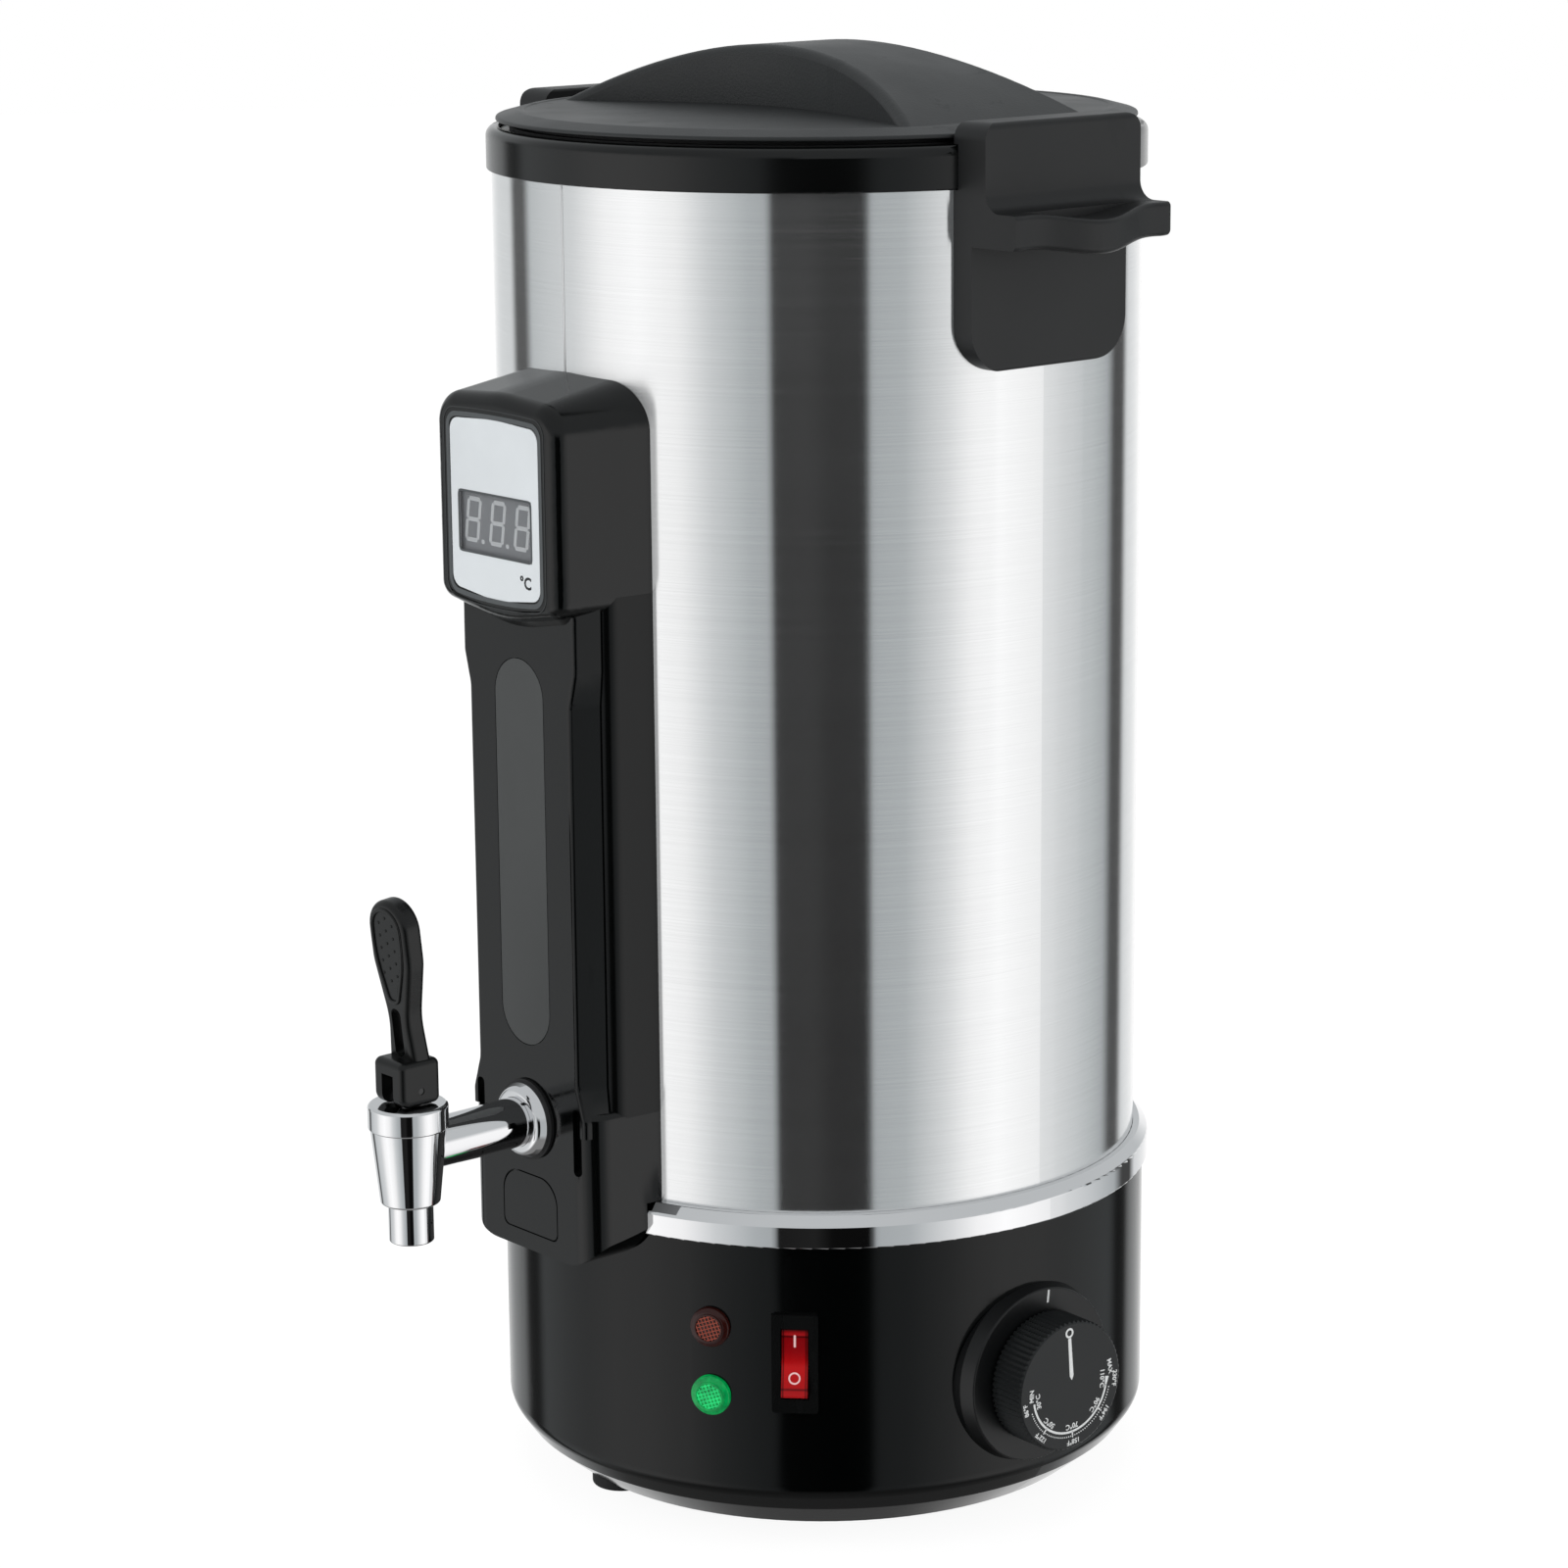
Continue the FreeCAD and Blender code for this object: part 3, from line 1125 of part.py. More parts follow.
def handle(azimuth):
    low = RING_Z - HANDLE_DROP
    shelf_top = RING_Z + GRIP_TOP
    inner = SHELL_R - 6
    outline = [
        (HANDLE_LID_REACH, HANDLE_TOP_Z, 0.8), (HANDLE_BLOCK_REACH, HANDLE_TOP_Z, 2.0),
        (HANDLE_BLOCK_REACH, shelf_top - 3.5), (HANDLE_PLATE_REACH, shelf_top - 3.5),
        (HANDLE_PLATE_REACH, low, 1.6), (inner, low), (inner, RING_TOP_Z + SNUG),
        (HANDLE_LID_REACH, RING_TOP_Z + SNUG)]
    half = HANDLE_W / 2
    body = Part.Face(closed_wire(outline, section(-half))).extrude(V(HANDLE_W, 0, 0))
    fillet = 6.0
    web = Part.Face(closed_wire(
        [(HANDLE_BLOCK_REACH - 1, shelf_top - 5), (HANDLE_BLOCK_REACH + fillet, shelf_top - 5),
         (HANDLE_BLOCK_REACH + fillet, shelf_top), (HANDLE_BLOCK_REACH, shelf_top, fillet * 0.95),
         (HANDLE_BLOCK_REACH, shelf_top + fillet), (HANDLE_BLOCK_REACH - 1, shelf_top + fillet)],
        section(-half))).extrude(V(HANDLE_W, 0, 0))
    frame = out_prism([(-half, low, HANDLE_LOW_R), (half, low, HANDLE_LOW_R),
                       (half, HANDLE_TOP_Z, HANDLE_TOP_R),
                       (-half, HANDLE_TOP_Z, HANDLE_TOP_R)], inner - 1, GRIP_REACH + GRIP_NOSE + 1)
    whole = union([body, web, grip_shelf()]).common(frame)
    cuts = [pillar(SHELL_R + SNUG, low - 1, RING_TOP_Z + SNUG),
            pillar(RING_R + SNUG, RING_Z - SNUG, RING_TOP_Z + SNUG)]
    for side in (-1, 1):
        across = side * HANDLE_SCREW_PITCH / 2
        start = SHELL_R - 5
        cuts.append(rod(HANDLE_SCREW_R + SNUG, start, handle_screw_head() + HANDLE_SCREW_L + 0.5,
                        RING_Z + HANDLE_SCREW_H, across))
    return at_azimuth(whole.cut(cuts), azimuth)


def handle_screw_head():
    """Reach of the screw heads' seat against the inside of the shell."""
    edge = HANDLE_SCREW_PITCH / 2 + HANDLE_SCREW_HEAD_R
    return math.sqrt(SHELL_IN ** 2 - edge ** 2)


def handle_right():
    return handle(90)


def handle_left():
    return handle(-90)


def handle_screws():
    seat = handle_screw_head()
    height = RING_Z + HANDLE_SCREW_H
    screws = []
    for azimuth in (90, -90):
        for side in (-1, 1):
            across = side * HANDLE_SCREW_PITCH / 2
            screw = union([rod(HANDLE_SCREW_HEAD_R, seat - HANDLE_SCREW_HEAD_H, seat, height, across),
                           rod(HANDLE_SCREW_R, seat - 1, seat + HANDLE_SCREW_L, height, across)])
            screws.append(at_azimuth(screw, azimuth))
    return group(screws)


# ================================================================ lid
def arch_prism(radius, top, half_width):
    """Everything under the ridge's arch, which spans the lid from handle to handle."""
    centre = top - radius
    barrel = Part.makeCylinder(radius, 2 * half_width, V(0, -half_width, centre), V(0, 1, 0))
    return barrel


def ridge(inset, low):
    """The ridge between its two scoops, made smaller all round by an inset."""
    top = RING_Z + RIDGE_TOP - inset
    arch = arch_prism(RIDGE_R - inset, top, LID_R)
    room = pillar(LID_R - inset - LID_KEY_GAP, low, top + 1)
    body = arch.common(room)
    scoops = []
    for side in (-1, 1):
        centre = side * (RIDGE_HALF + SCOOP_R)
        scoops.append(pillar(SCOOP_R + inset, low - 1, top + 2, 0, centre))
    return body.cut(scoops)


def lid_shell():
    deck = ring_solid([
        (0, LID_Z + SNUG), (LID_R - LID_RIM_W, LID_Z + SNUG), (LID_R - LID_RIM_W, LID_Z), (LID_R, LID_Z, 0.5),
        (LID_R, LID_Z + LID_RIM_EDGE, 0.8), (LID_R - LID_RIM_W, LID_TOP_Z, 2.5),
        (LID_R - LID_RIM_W - 1.5, LID_TOP_Z, 0.3), (LID_R - LID_RIM_W - 2.0, LID_DECK_Z),
        (0, LID_DECK_Z + LID_DOME)])
    top = ridge(0, LID_Z + 1)
    crest = rounded_edges(top, RIDGE_ROUND, lambda edge: edge.BoundBox.ZMax > RING_Z + RIDGE_TOP - 3)
    boss = pillar(LID_BOSS_R, LINER_Z + LINER_T, LID_Z + 1, 0, -LID_SCREW_RING_R)
    whole = union([deck, crest] + around(boss, LID_SCREW_ANGLES))
    flat = HANDLE_LID_REACH - LID_KEY_GAP
    sides = [Part.makeBox(20, 4 * LID_R, 80, V(flat, -2 * LID_R, LID_Z - 20)),
             Part.makeBox(20, 4 * LID_R, 80, V(-flat - 20, -2 * LID_R, LID_Z - 20))]
    hollow = ridge(LID_WALL, LID_Z - 1)
    hole = pillar(LID_SCREW_R + SNUG, LINER_Z, LID_Z + 1, 0, -LID_SCREW_RING_R)
    return cut_all(whole, sides + [hollow] + around(hole, LID_SCREW_ANGLES))


def lid_liner():
    """Steel dish under the lid, which hangs into the pot."""
    top = LID_Z + SNUG
    dish = ring_solid([
        (0, LINER_Z), (LINER_R, LINER_Z, 2.0), (LINER_R, top), (LINER_R - 5, top),
        (LINER_R - 5, top - LINER_T),
        (LINER_R - LINER_T, top - LINER_T), (LINER_R - LINER_T, LINER_Z + LINER_T, 1.2),
        (0, LINER_Z + LINER_T)])
    hole = pillar(LID_SCREW_R + SNUG, LINER_Z - 1, LINER_Z + LINER_T + 1, 0, -LID_SCREW_RING_R)
    return cut_all(dish, around(hole, LID_SCREW_ANGLES))


def lid_seal():
    """Silicone ring between the lid and the pot's flange."""
    inner = LINER_R + SNUG
    top = LID_Z
    ring = ring_solid([
        (inner, POT_TOP_Z, 0.5), (SEAL_R, POT_TOP_Z, 0.8), (SEAL_R, top - 1.4), (SEAL_R - 2.5, top - 1.4),
        (SEAL_R - 2.5, top), (inner, top)])
    return ring


def lid_screws():
    screw = union([pillar(LID_SCREW_HEAD_R, LINER_Z - LID_SCREW_HEAD_H, LINER_Z, 0, -LID_SCREW_RING_R),
                   pillar(LID_SCREW_R, LINER_Z - 1, LID_Z, 0, -LID_SCREW_RING_R)])
    return group(around(screw, LID_SCREW_ANGLES))


# ================================================================ column
def head_outline(half, top, corner, shrink=0.0):
    """Outline of the head: arched top corners and a lower edge that bulges down."""
    low = RING_Z + HEAD_BOTTOM + shrink
    high = RING_Z + top - shrink
    half = half - shrink
    return [(-half, low + HEAD_SAG, 6.0), (0, low - HEAD_SAG * 0.1, 60.0), (half, low + HEAD_SAG, 6.0),
            (half, high - HEAD_ARCH, corner), (0, high + HEAD_ARCH * 0.1, 60.0),
            (-half, high - HEAD_ARCH, corner)]


def column_half(reach):
    """Half width of the column's drafted sides at a reach."""
    root = SHELL_R - COLUMN_ROOT
    return COLUMN_HALF + (HEAD_HALF - COLUMN_HALF) * (reach - root) / (HEAD_REACH - root)


def head_block(shrink=0.0, end=HEAD_REACH):
    """The display head, tapering from the shell out to its front face."""
    back = closed_wire(head_outline(COLUMN_HALF, COLUMN_TOP, HEAD_BACK_CORNER, shrink),
                       front(SHELL_R - COLUMN_ROOT))
    face = closed_wire(head_outline(HEAD_HALF, HEAD_TOP, HEAD_CORNER, shrink), front(end))
    return Part.makeLoft([back, face], True, True)


def neck_outline(half, drop):
    low = RING_Z + HEAD_BOTTOM - drop
    return [(-half, low + HEAD_SAG, 6.0), (0, low - HEAD_SAG * 0.1, 60.0), (half, low + HEAD_SAG, 6.0),
            (half, low + 3 * HEAD_SAG), (-half, low + 3 * HEAD_SAG)]


def neck_block():
    """Slanting edge between the head's underside and the spine's face."""
    upper = closed_wire(neck_outline(SPINE_SHOULDER, -NECK_INSET / 4), front(HEAD_REACH - HEAD_ROUND))
    lower = closed_wire(neck_outline(SPINE_SHOULDER, NECK_DROP), front(SPINE_REACH - NECK_INSET))
    return Part.makeLoft([lower, upper], True, True)


def foot_block(shrink=0.0, end=SPINE_REACH):
    """Full-width block round the tap, with wide rounded front corners."""
    root = SHELL_R - COLUMN_ROOT
    low = RING_Z + COLUMN_BOTTOM + shrink
    high = RING_Z + FOOT_BLOCK_TOP - shrink
    back, face = column_half(root) - shrink, column_half(SPINE_REACH) - shrink
    corner = FOOT_BLOCK_ROUND - shrink
    top_view = Part.Face(closed_wire(
        [(-back, -root), (-face, -end, corner), (face, -end, corner), (back, -root)], plan(low)))
    block = top_view.extrude(V(0, 0, high - low))
    corner = FOOT_BLOCK_LOW_R - shrink
    front_view = out_prism([(-back, low, corner), (back, low, corner), (back, high), (-back, high)], root,
                           end)
    return block.common(front_view)


def foot_form():
    """The foot block with its upper front edge rounded."""
    high = RING_Z + FOOT_BLOCK_TOP
    return rounded_edges(foot_block(), FOOT_BLOCK_EDGE,
                         lambda edge: spans(edge, high - 0.1, high + 0.1, "z")
                         and edge.BoundBox.YMin < -FRAME_REACH)


def spine_outline(shrink=0.0, slant=0.0):
    """Outline of the slim part: shoulders under the head, a waist, and a flare into the foot block."""
    top = RING_Z + HEAD_BOTTOM + 8
    waist = RING_Z + SPINE_WAIST_TOP
    foot = RING_Z + FOOT_BLOCK_TOP - FOOT_BLOCK_EDGE
    flare, slim, shoulder = [min(half + slant, max(half, SPINE_ROOT_HALF)) - shrink
                             for half in (SPINE_FLARE_HALF, SPINE_HALF, SPINE_SHOULDER)]
    right = [(flare, foot - SPINE_FLARE_H / 2), (flare, foot, 4.0), (slim, foot + SPINE_FLARE_H, 8.0),
             (slim, waist, 8.0), (shoulder, waist + 10, 5.0), (shoulder, top, 0.0)]
    left = [(-corner[0],) + corner[1:] for corner in reversed(right)]
    return right + left


def spine_block(start, end, shrink=0.0):
    return out_prism(spine_outline(shrink), start, end)


def spine_form():
    """The slim part's outside, its sides slanting out towards the rails."""
    root = closed_wire(spine_outline(0.0, SPINE_SLANT), front(FRAME_REACH + FIT))
    face = closed_wire(spine_outline(), front(SPINE_REACH))
    return Part.makeLoft([root, face], True, True)


def clear_of_body():
    """Room for the steel shell and for the chrome band where the column stands over them."""
    return [pillar(SHELL_R + SNUG, 0, RING_Z), pillar(BAND_R + SNUG, 0, BAND_TOP_Z + SNUG)]


def column_cover():
    """Gloss moulding: display head, spine and foot block in one shell."""
    head = head_block()
    head = rounded_edges(head, HEAD_ROUND, lambda edge: spans(edge, -HEAD_REACH - 1, -HEAD_REACH + 0.1, "y"))
    spine = rounded_edges(spine_form(), SPINE_ROUND,
                          lambda edge: spans(edge, -SPINE_REACH - 1, -SPINE_REACH + 0.1, "y")
                          and edge.BoundBox.ZLength > 1)
    bosses = [rod(COLUMN_BOSS_R, SHELL_R - 1, SPINE_REACH - 1, RING_Z + height)
              for height in COLUMN_SCREW_HEIGHTS]
    solid = union([head, neck_block(), spine, foot_form()])
    wall = COLUMN_WALL
    hollow = [head_block(wall, HEAD_REACH - wall),
              spine_block(SHELL_R - COLUMN_ROOT, SPINE_REACH - wall, wall),
              foot_block(wall, SPINE_REACH - wall)]
    solid = union([solid.cut(hollow)] + bosses)
    return cut_all(solid, clear_of_body() + cover_recesses())


def cover_recesses():
    label = out_prism(label_outline(0), HEAD_REACH - LABEL_T - SNUG, HEAD_REACH + 2)
    window = box_between((-DIGITS_W / 2 - SNUG, DIGITS_W / 2 + SNUG), (HEAD_REACH - 6, HEAD_REACH + 1),
                         (RING_Z + WINDOW_MID - DIGITS_H / 2 - SNUG,
                          RING_Z + WINDOW_MID + DIGITS_H / 2 + SNUG))
    insert = out_prism(insert_outline(0), SPINE_REACH - INSERT_T, SPINE_REACH + 1)
    hatch = out_prism(hatch_outline(-HATCH_GAP), SPINE_REACH - HATCH_T - SNUG, SPINE_REACH + 1)
    cuts = [label, window, insert, hatch, rod(SHANK_R + SNUG, SHELL_R - COLUMN_ROOT, SPINE_REACH + 2, TAP_Z)]
    cuts += [out_prism(drop_outline(side), SPINE_REACH - DROP_DEEP, SPINE_REACH + 1) for side in (-1, 1)]
    for height in COLUMN_SCREW_HEIGHTS:
        cuts.append(rod(COLUMN_SCREW_R + SNUG, SHELL_R - 3, SHELL_IN + COLUMN_SCREW_L + 1, RING_Z + height))
    return cuts


def drop_outline(side):
    middle = side * DROP_ACROSS
    low = RING_Z + DROP_BOTTOM
    high = RING_Z + DROP_TOP
    round_r = DROP_HALF * 0.9
    return [(middle - DROP_HALF, low, round_r), (middle + DROP_HALF, low, round_r),
            (middle + DROP_HALF, high, round_r), (middle - DROP_HALF, high, round_r)]


def column_frame():
    """Side rails behind the spine, from the head down to the foot block."""
    root = SHELL_R - COLUMN_ROOT
    top = RING_Z + HEAD_BOTTOM + 2 * HEAD_SAG
    low = RING_Z + FOOT_BLOCK_TOP - FOOT_BLOCK_EDGE - 2
    views = []
    for reach in (root, FRAME_REACH):
        half = column_half(reach)
        views.append(closed_wire([(-half, low), (half, low), (half, top), (-half, top)], front(reach)))
    block = Part.makeLoft(views, True, True)
    block = rounded_edges(block, FRAME_ROUND,
                          lambda edge: spans(edge, -FRAME_REACH - 1, -FRAME_REACH + 0.1, "y")
                          and edge.BoundBox.ZLength > 1)
    inner = SPINE_HALF - COLUMN_WALL
    bar = RING_Z + FOOT_BLOCK_TOP + FRAME_BAR
    hollow = box_between((-inner, inner), (root - 2, FRAME_REACH + 1), (bar, top + 1))
    cuts = clear_of_body() + [hollow, head_block(), neck_block(), foot_form(),
                              rod(SHANK_R + SLIP, root, FRAME_REACH + 2, TAP_Z)]
    return cut_all(block, cuts)


def column_screws():
    seat = math.sqrt(SHELL_IN ** 2 - COLUMN_SCREW_HEAD_R ** 2)
    screws = []
    for height in COLUMN_SCREW_HEIGHTS:
        z = RING_Z + height
        screws.append(union([rod(COLUMN_SCREW_HEAD_R, seat - COLUMN_SCREW_HEAD_H, seat, z),
                             rod(COLUMN_SCREW_R, seat - 1, SHELL_IN + COLUMN_SCREW_L, z)]))
    return group(screws)


def label_outline(shrink):
    half = LABEL_HALF - shrink
    low = RING_Z + LABEL_BOTTOM + shrink
    high = RING_Z + LABEL_TOP - shrink
    corner = LABEL_CORNER
    return [(-half, low, corner), (0, low - LABEL_BULGE, 50.0), (half, low, corner), (half, high, corner),
            (0, high + LABEL_ARCH, 80.0), (-half, high, corner)]


def window_box(room, start, end):
    half = WINDOW_W / 2 + room
    tall = WINDOW_H / 2 + room
    middle = RING_Z + WINDOW_MID
    return box_between((-half, half), (start, end), (middle - tall, middle + tall))


def display_label():
    plate = out_prism(label_outline(LABEL_GAP), HEAD_REACH - LABEL_T, HEAD_REACH)
    return plate.cut(window_box(SNUG, HEAD_REACH - 3, HEAD_REACH + 1))


def display_window():
    return window_box(0, HEAD_REACH - WINDOW_T, HEAD_REACH)


def display_module():
    """Three-digit LED block on its circuit board."""
    middle = RING_Z + WINDOW_MID
    face = HEAD_REACH - WINDOW_T - SNUG
    digits = box_between((-DIGITS_W / 2, DIGITS_W / 2), (face - DIGITS_D, face),
                         (middle - DIGITS_H / 2, middle + DIGITS_H / 2))
    back = face - DIGITS_D
    board = box_between((-BOARD_W / 2, BOARD_W / 2), (back - BOARD_T, back),
                        (middle - BOARD_H / 2, middle + BOARD_H / 2))
    return union([digits, board])


def insert_outline(shrink):
    return rounded_box(INSERT_HALF - shrink, RING_Z + INSERT_BOTTOM + shrink, RING_Z + INSERT_TOP - shrink,
                       (INSERT_HALF - shrink) * 0.999)


def grip_insert():
    return out_prism(insert_outline(INSERT_GAP), SPINE_REACH - INSERT_T, SPINE_REACH)


def hatch_outline(shrink):
    half = HATCH_HALF - shrink
    low = RING_Z + HATCH_BOTTOM + shrink
    high = RING_Z + HATCH_TOP - shrink
    return [(-half, low, HATCH_LOW_R), (half, low, HATCH_LOW_R), (half, high, HATCH_TOP_R),
            (-half, high, HATCH_TOP_R)]


def tap_hatch():
    return out_prism(hatch_outline(0), SPINE_REACH - HATCH_T - SNUG, SPINE_REACH)


def temperature_probe():
    z = RING_Z + PROBE_H
    stem = rod(PROBE_R, PROBE_IN, SHELL_R + PROBE_TAIL, z)
    head = hex_out(2 * PROBE_HEAD_R * 0.86, POT_R - 2, POT_R + PROBE_HEAD_T, z)
    head = head.cut([pillar(POT_R + FIT, z - 20, z + 20)])
    return union([stem, head])


# ================================================================ tap
def tap_body():
    """Chrome casting: shank, barrel and spout, with its waterway."""
    shank = rod(SHANK_R, SHANK_IN, TAP_REACH, TAP_Z)
    barrel = post_solid([
        (0, TAP_Z + SPOUT_LOW), (SPOUT_R, TAP_Z + SPOUT_LOW, 0.6), (SPOUT_R, TAP_Z + BARREL_LOW),
        (BARREL_LOW_R, TAP_Z + BARREL_LOW, 1.0), (BARREL_TOP_R, BONNET_Z), (0, BONNET_Z)], 0, -TAP_REACH)
    bore = rod(SHANK_BORE_R, SHANK_IN - 1, TAP_REACH, TAP_Z)
    chamber = pillar(CHAMBER_R, CHAMBER_Z, BONNET_Z + 1, 0, -TAP_REACH)
    outlet = pillar(SPOUT_BORE_R, TAP_Z + SPOUT_LOW - 1, CHAMBER_Z + 1, 0, -TAP_REACH)
    seat = pillar(BONNET_R + SNUG, BONNET_Z, BONNET_TOP_Z, 0, -TAP_REACH)
    return union([shank, barrel]).cut([bore, chamber, outlet, seat])


def tap_bonnet():
    low = BONNET_Z - BONNET_SKIRT
    roof = BONNET_TOP_Z - BONNET_ROOF
    hole = STEM_R + FIT
    return post_solid([
        (SPRING_ROOM_R, low), (CHAMBER_R - FIT, low), (CHAMBER_R - FIT, BONNET_Z), (BONNET_R, BONNET_Z, 0.6),
        (BONNET_R, BONNET_TOP_Z, 1.2), (hole, BONNET_TOP_Z), (hole, roof), (SPRING_ROOM_R, roof)], 0,
        -TAP_REACH)


def tap_stem():
    """Stem with the collar that the spring bears on and the eye that carries the lever."""
    low = CHAMBER_Z + 2
    collar = CHAMBER_Z + CUP_H
    stem = pillar(STEM_R, low, PIN_Z, 0, -TAP_REACH)
    plate = pillar(STEM_COLLAR_R, collar, collar + STEM_COLLAR_T, 0, -TAP_REACH)
    eye = Part.makeCylinder(STEM_EYE_R, STEM_EYE_T, V(-STEM_EYE_T / 2, -TAP_REACH, PIN_Z), V(1, 0, 0))
    hole = Part.makeCylinder(LEVER_PIN_R + FIT, STEM_EYE_T + 2, V(-STEM_EYE_T / 2 - 1, -TAP_REACH, PIN_Z),
                             V(1, 0, 0))
    return union([stem, plate, eye]).cut(hole)


def tap_seat():
    """Silicone cup that closes the outlet."""
    return post_solid([
        (STEM_R + SNUG, CHAMBER_Z + 1.9), (0, CHAMBER_Z + 1.9), (0, CHAMBER_Z), (CUP_R, CHAMBER_Z, 0.8),
        (CUP_R, CHAMBER_Z + CUP_H), (STEM_R + SNUG, CHAMBER_Z + CUP_H)], 0, -TAP_REACH)


def tap_spring():
    low = CHAMBER_Z + CUP_H + STEM_COLLAR_T + SPRING_WIRE_R
    high = BONNET_TOP_Z - BONNET_ROOF - SPRING_WIRE_R
    helix = Part.makeHelix((high - low) / SPRING_TURNS, high - low, SPRING_R)
    helix.translate(V(0, -TAP_REACH, low))
    start = V(SPRING_R, -TAP_REACH, low)
    wire = Part.Wire([Part.Circle(start, V(0, 1, 0), SPRING_WIRE_R).toShape()])
    return Part.Wire(helix.Edges).makePipeShell([wire], True, True)


def lever_pin():
    length = LEVER_BLOCK - 0.6
    return Part.makeCylinder(LEVER_PIN_R, length, V(-length / 2, -TAP_REACH, PIN_Z), V(1, 0, 0))


def lever_outline():
    """Arm and paddle seen from in front, counted from the block's top."""
    foot = LEVER_Z + LEVER_BLOCK_H - 2
    high = LEVER_Z + LEVER_BLOCK_H + LEVER_ARM_H
    neck = foot + LEVER_WINDOW_H + 3
    half = LEVER_PADDLE_HALF
    right = [(LEVER_BLOCK / 2 - 0.8, foot), (LEVER_NECK_HALF, neck - 4, 22.0), (half, high - 19, 16.0),
             (half, high, half - 0.02)]
    left = [(-corner[0], corner[1]) + tuple(corner[2:]) for corner in reversed(right)]
    return right + left


def lever_window(neck_half):
    low = LEVER_Z + LEVER_BLOCK_H + 0.5
    return rounded_box(neck_half, low, low + LEVER_WINDOW_H, neck_half * 0.9)


def tap_lever():
    half = LEVER_BLOCK / 2
    top = LEVER_Z + LEVER_BLOCK_H
    corner = LEVER_BLOCK_ROUND * 1.1
    block = Part.Face(closed_wire(
        [(TAP_REACH - half, LEVER_Z, corner), (TAP_REACH + half, LEVER_Z, LEVER_CAM_R),
         (TAP_REACH + half, top, corner),
         (TAP_REACH - half, top, corner)], section(-half))).extrude(V(LEVER_BLOCK, 0, 0))
    block = rounded_edges(block, LEVER_BLOCK_ROUND,
                          lambda edge: spans(edge, -half - 0.1, -half + 0.1, "x")
                          or spans(edge, half - 0.1, half + 0.1, "x"))
    slot = box_between((-LEVER_SLOT_W / 2, LEVER_SLOT_W / 2), (TAP_REACH - half - 1, TAP_REACH + half + 1),
                       (LEVER_Z - 1, LEVER_Z + LEVER_SLOT_H))
    bore = Part.makeCylinder(LEVER_PIN_R + FIT, LEVER_BLOCK + 2, V(-half - 1, -TAP_REACH, PIN_Z), V(1, 0, 0))
    start = TAP_REACH - LEVER_ARM_BACK
    arm = out_prism(lever_outline(), start, start + LEVER_ARM_T)
    arm = rounded_edges(arm, LEVER_ARM_ROUND,
                        lambda edge: spans(edge, -start - LEVER_ARM_T - 0.1, -start - LEVER_ARM_T + 0.1, "y")
                        or spans(edge, -start - 0.1, -start + 0.1, "y"))
    arm = arm.cut(out_prism(lever_window(LEVER_WINDOW_W / 2), start - 1, start + LEVER_ARM_T + 1))
    arm.rotate(V(0, -TAP_REACH, top), V(1, 0, 0), LEVER_LEAN)
    return union([block.cut([slot, bore]), arm])


def tap_gasket():
    return rod(GASKET_R, SPINE_REACH, SPINE_REACH + GASKET_T, TAP_Z).cut(
        rod(SHANK_R + SNUG, SPINE_REACH - 1, SPINE_REACH + GASKET_T + 1, TAP_Z))


def tap_washer():
    start = SPINE_REACH + GASKET_T
    inner = SHANK_R + SNUG
    return ring_about_reach([
        (inner, start), (DISC_R, start), (DISC_R, start + 1.0, 0.4), (DISC_R - 1.4, start + DISC_T, 2.4),
        (inner, start + DISC_T)], TAP_Z)


def shank_seals():
    """Silicone washers inside and outside the pot wall, moulded to its curve."""
    inner = rod(SEAL_WASHER_R, POT_IN - SEAL_WASHER_T, POT_R,
                TAP_Z).common(pillar(POT_IN - FIT, TAP_Z - 30, TAP_Z + 30))
    outer = rod(SEAL_WASHER_R, POT_IN - 3, POT_R + SEAL_WASHER_T,
                TAP_Z).cut(pillar(POT_R + FIT, TAP_Z - 30, TAP_Z + 30))
    hole = rod(SHANK_R + SNUG, POT_IN - 10, POT_R + 10, TAP_Z)
    return group([inner.cut(hole), outer.cut(hole)])


def shank_nuts():
    """Nut inside the pot and thin nut between pot and shell."""
    inner_end = POT_IN - SEAL_WASHER_T
    inner = hex_out(SHANK_NUT_FLATS, inner_end - SHANK_NUT_T, inner_end, TAP_Z)
    outer_start = POT_R + SEAL_WASHER_T
    outer = hex_out(SHANK_NUT_FLATS, outer_start, outer_start + JAM_NUT_T, TAP_Z)
    hole = rod(SHANK_R + SNUG, POT_IN - 20, POT_R + 20, TAP_Z)
    return group([inner.cut(hole), outer.cut(hole)])


# ================================================================ wiring

def wire_route(points):
    return bent_tube([V(x, y, z) for x, y, z in points], WIRE_R, WIRE_BEND)


def spot(azimuth, reach, height, across=0.0):
    """A point at an azimuth, reach and height, moved across."""
    angle = math.radians(azimuth)
    ahead = outward(azimuth)
    return (ahead.x * reach + math.cos(angle) * across, ahead.y * reach + math.sin(angle) * across, height)


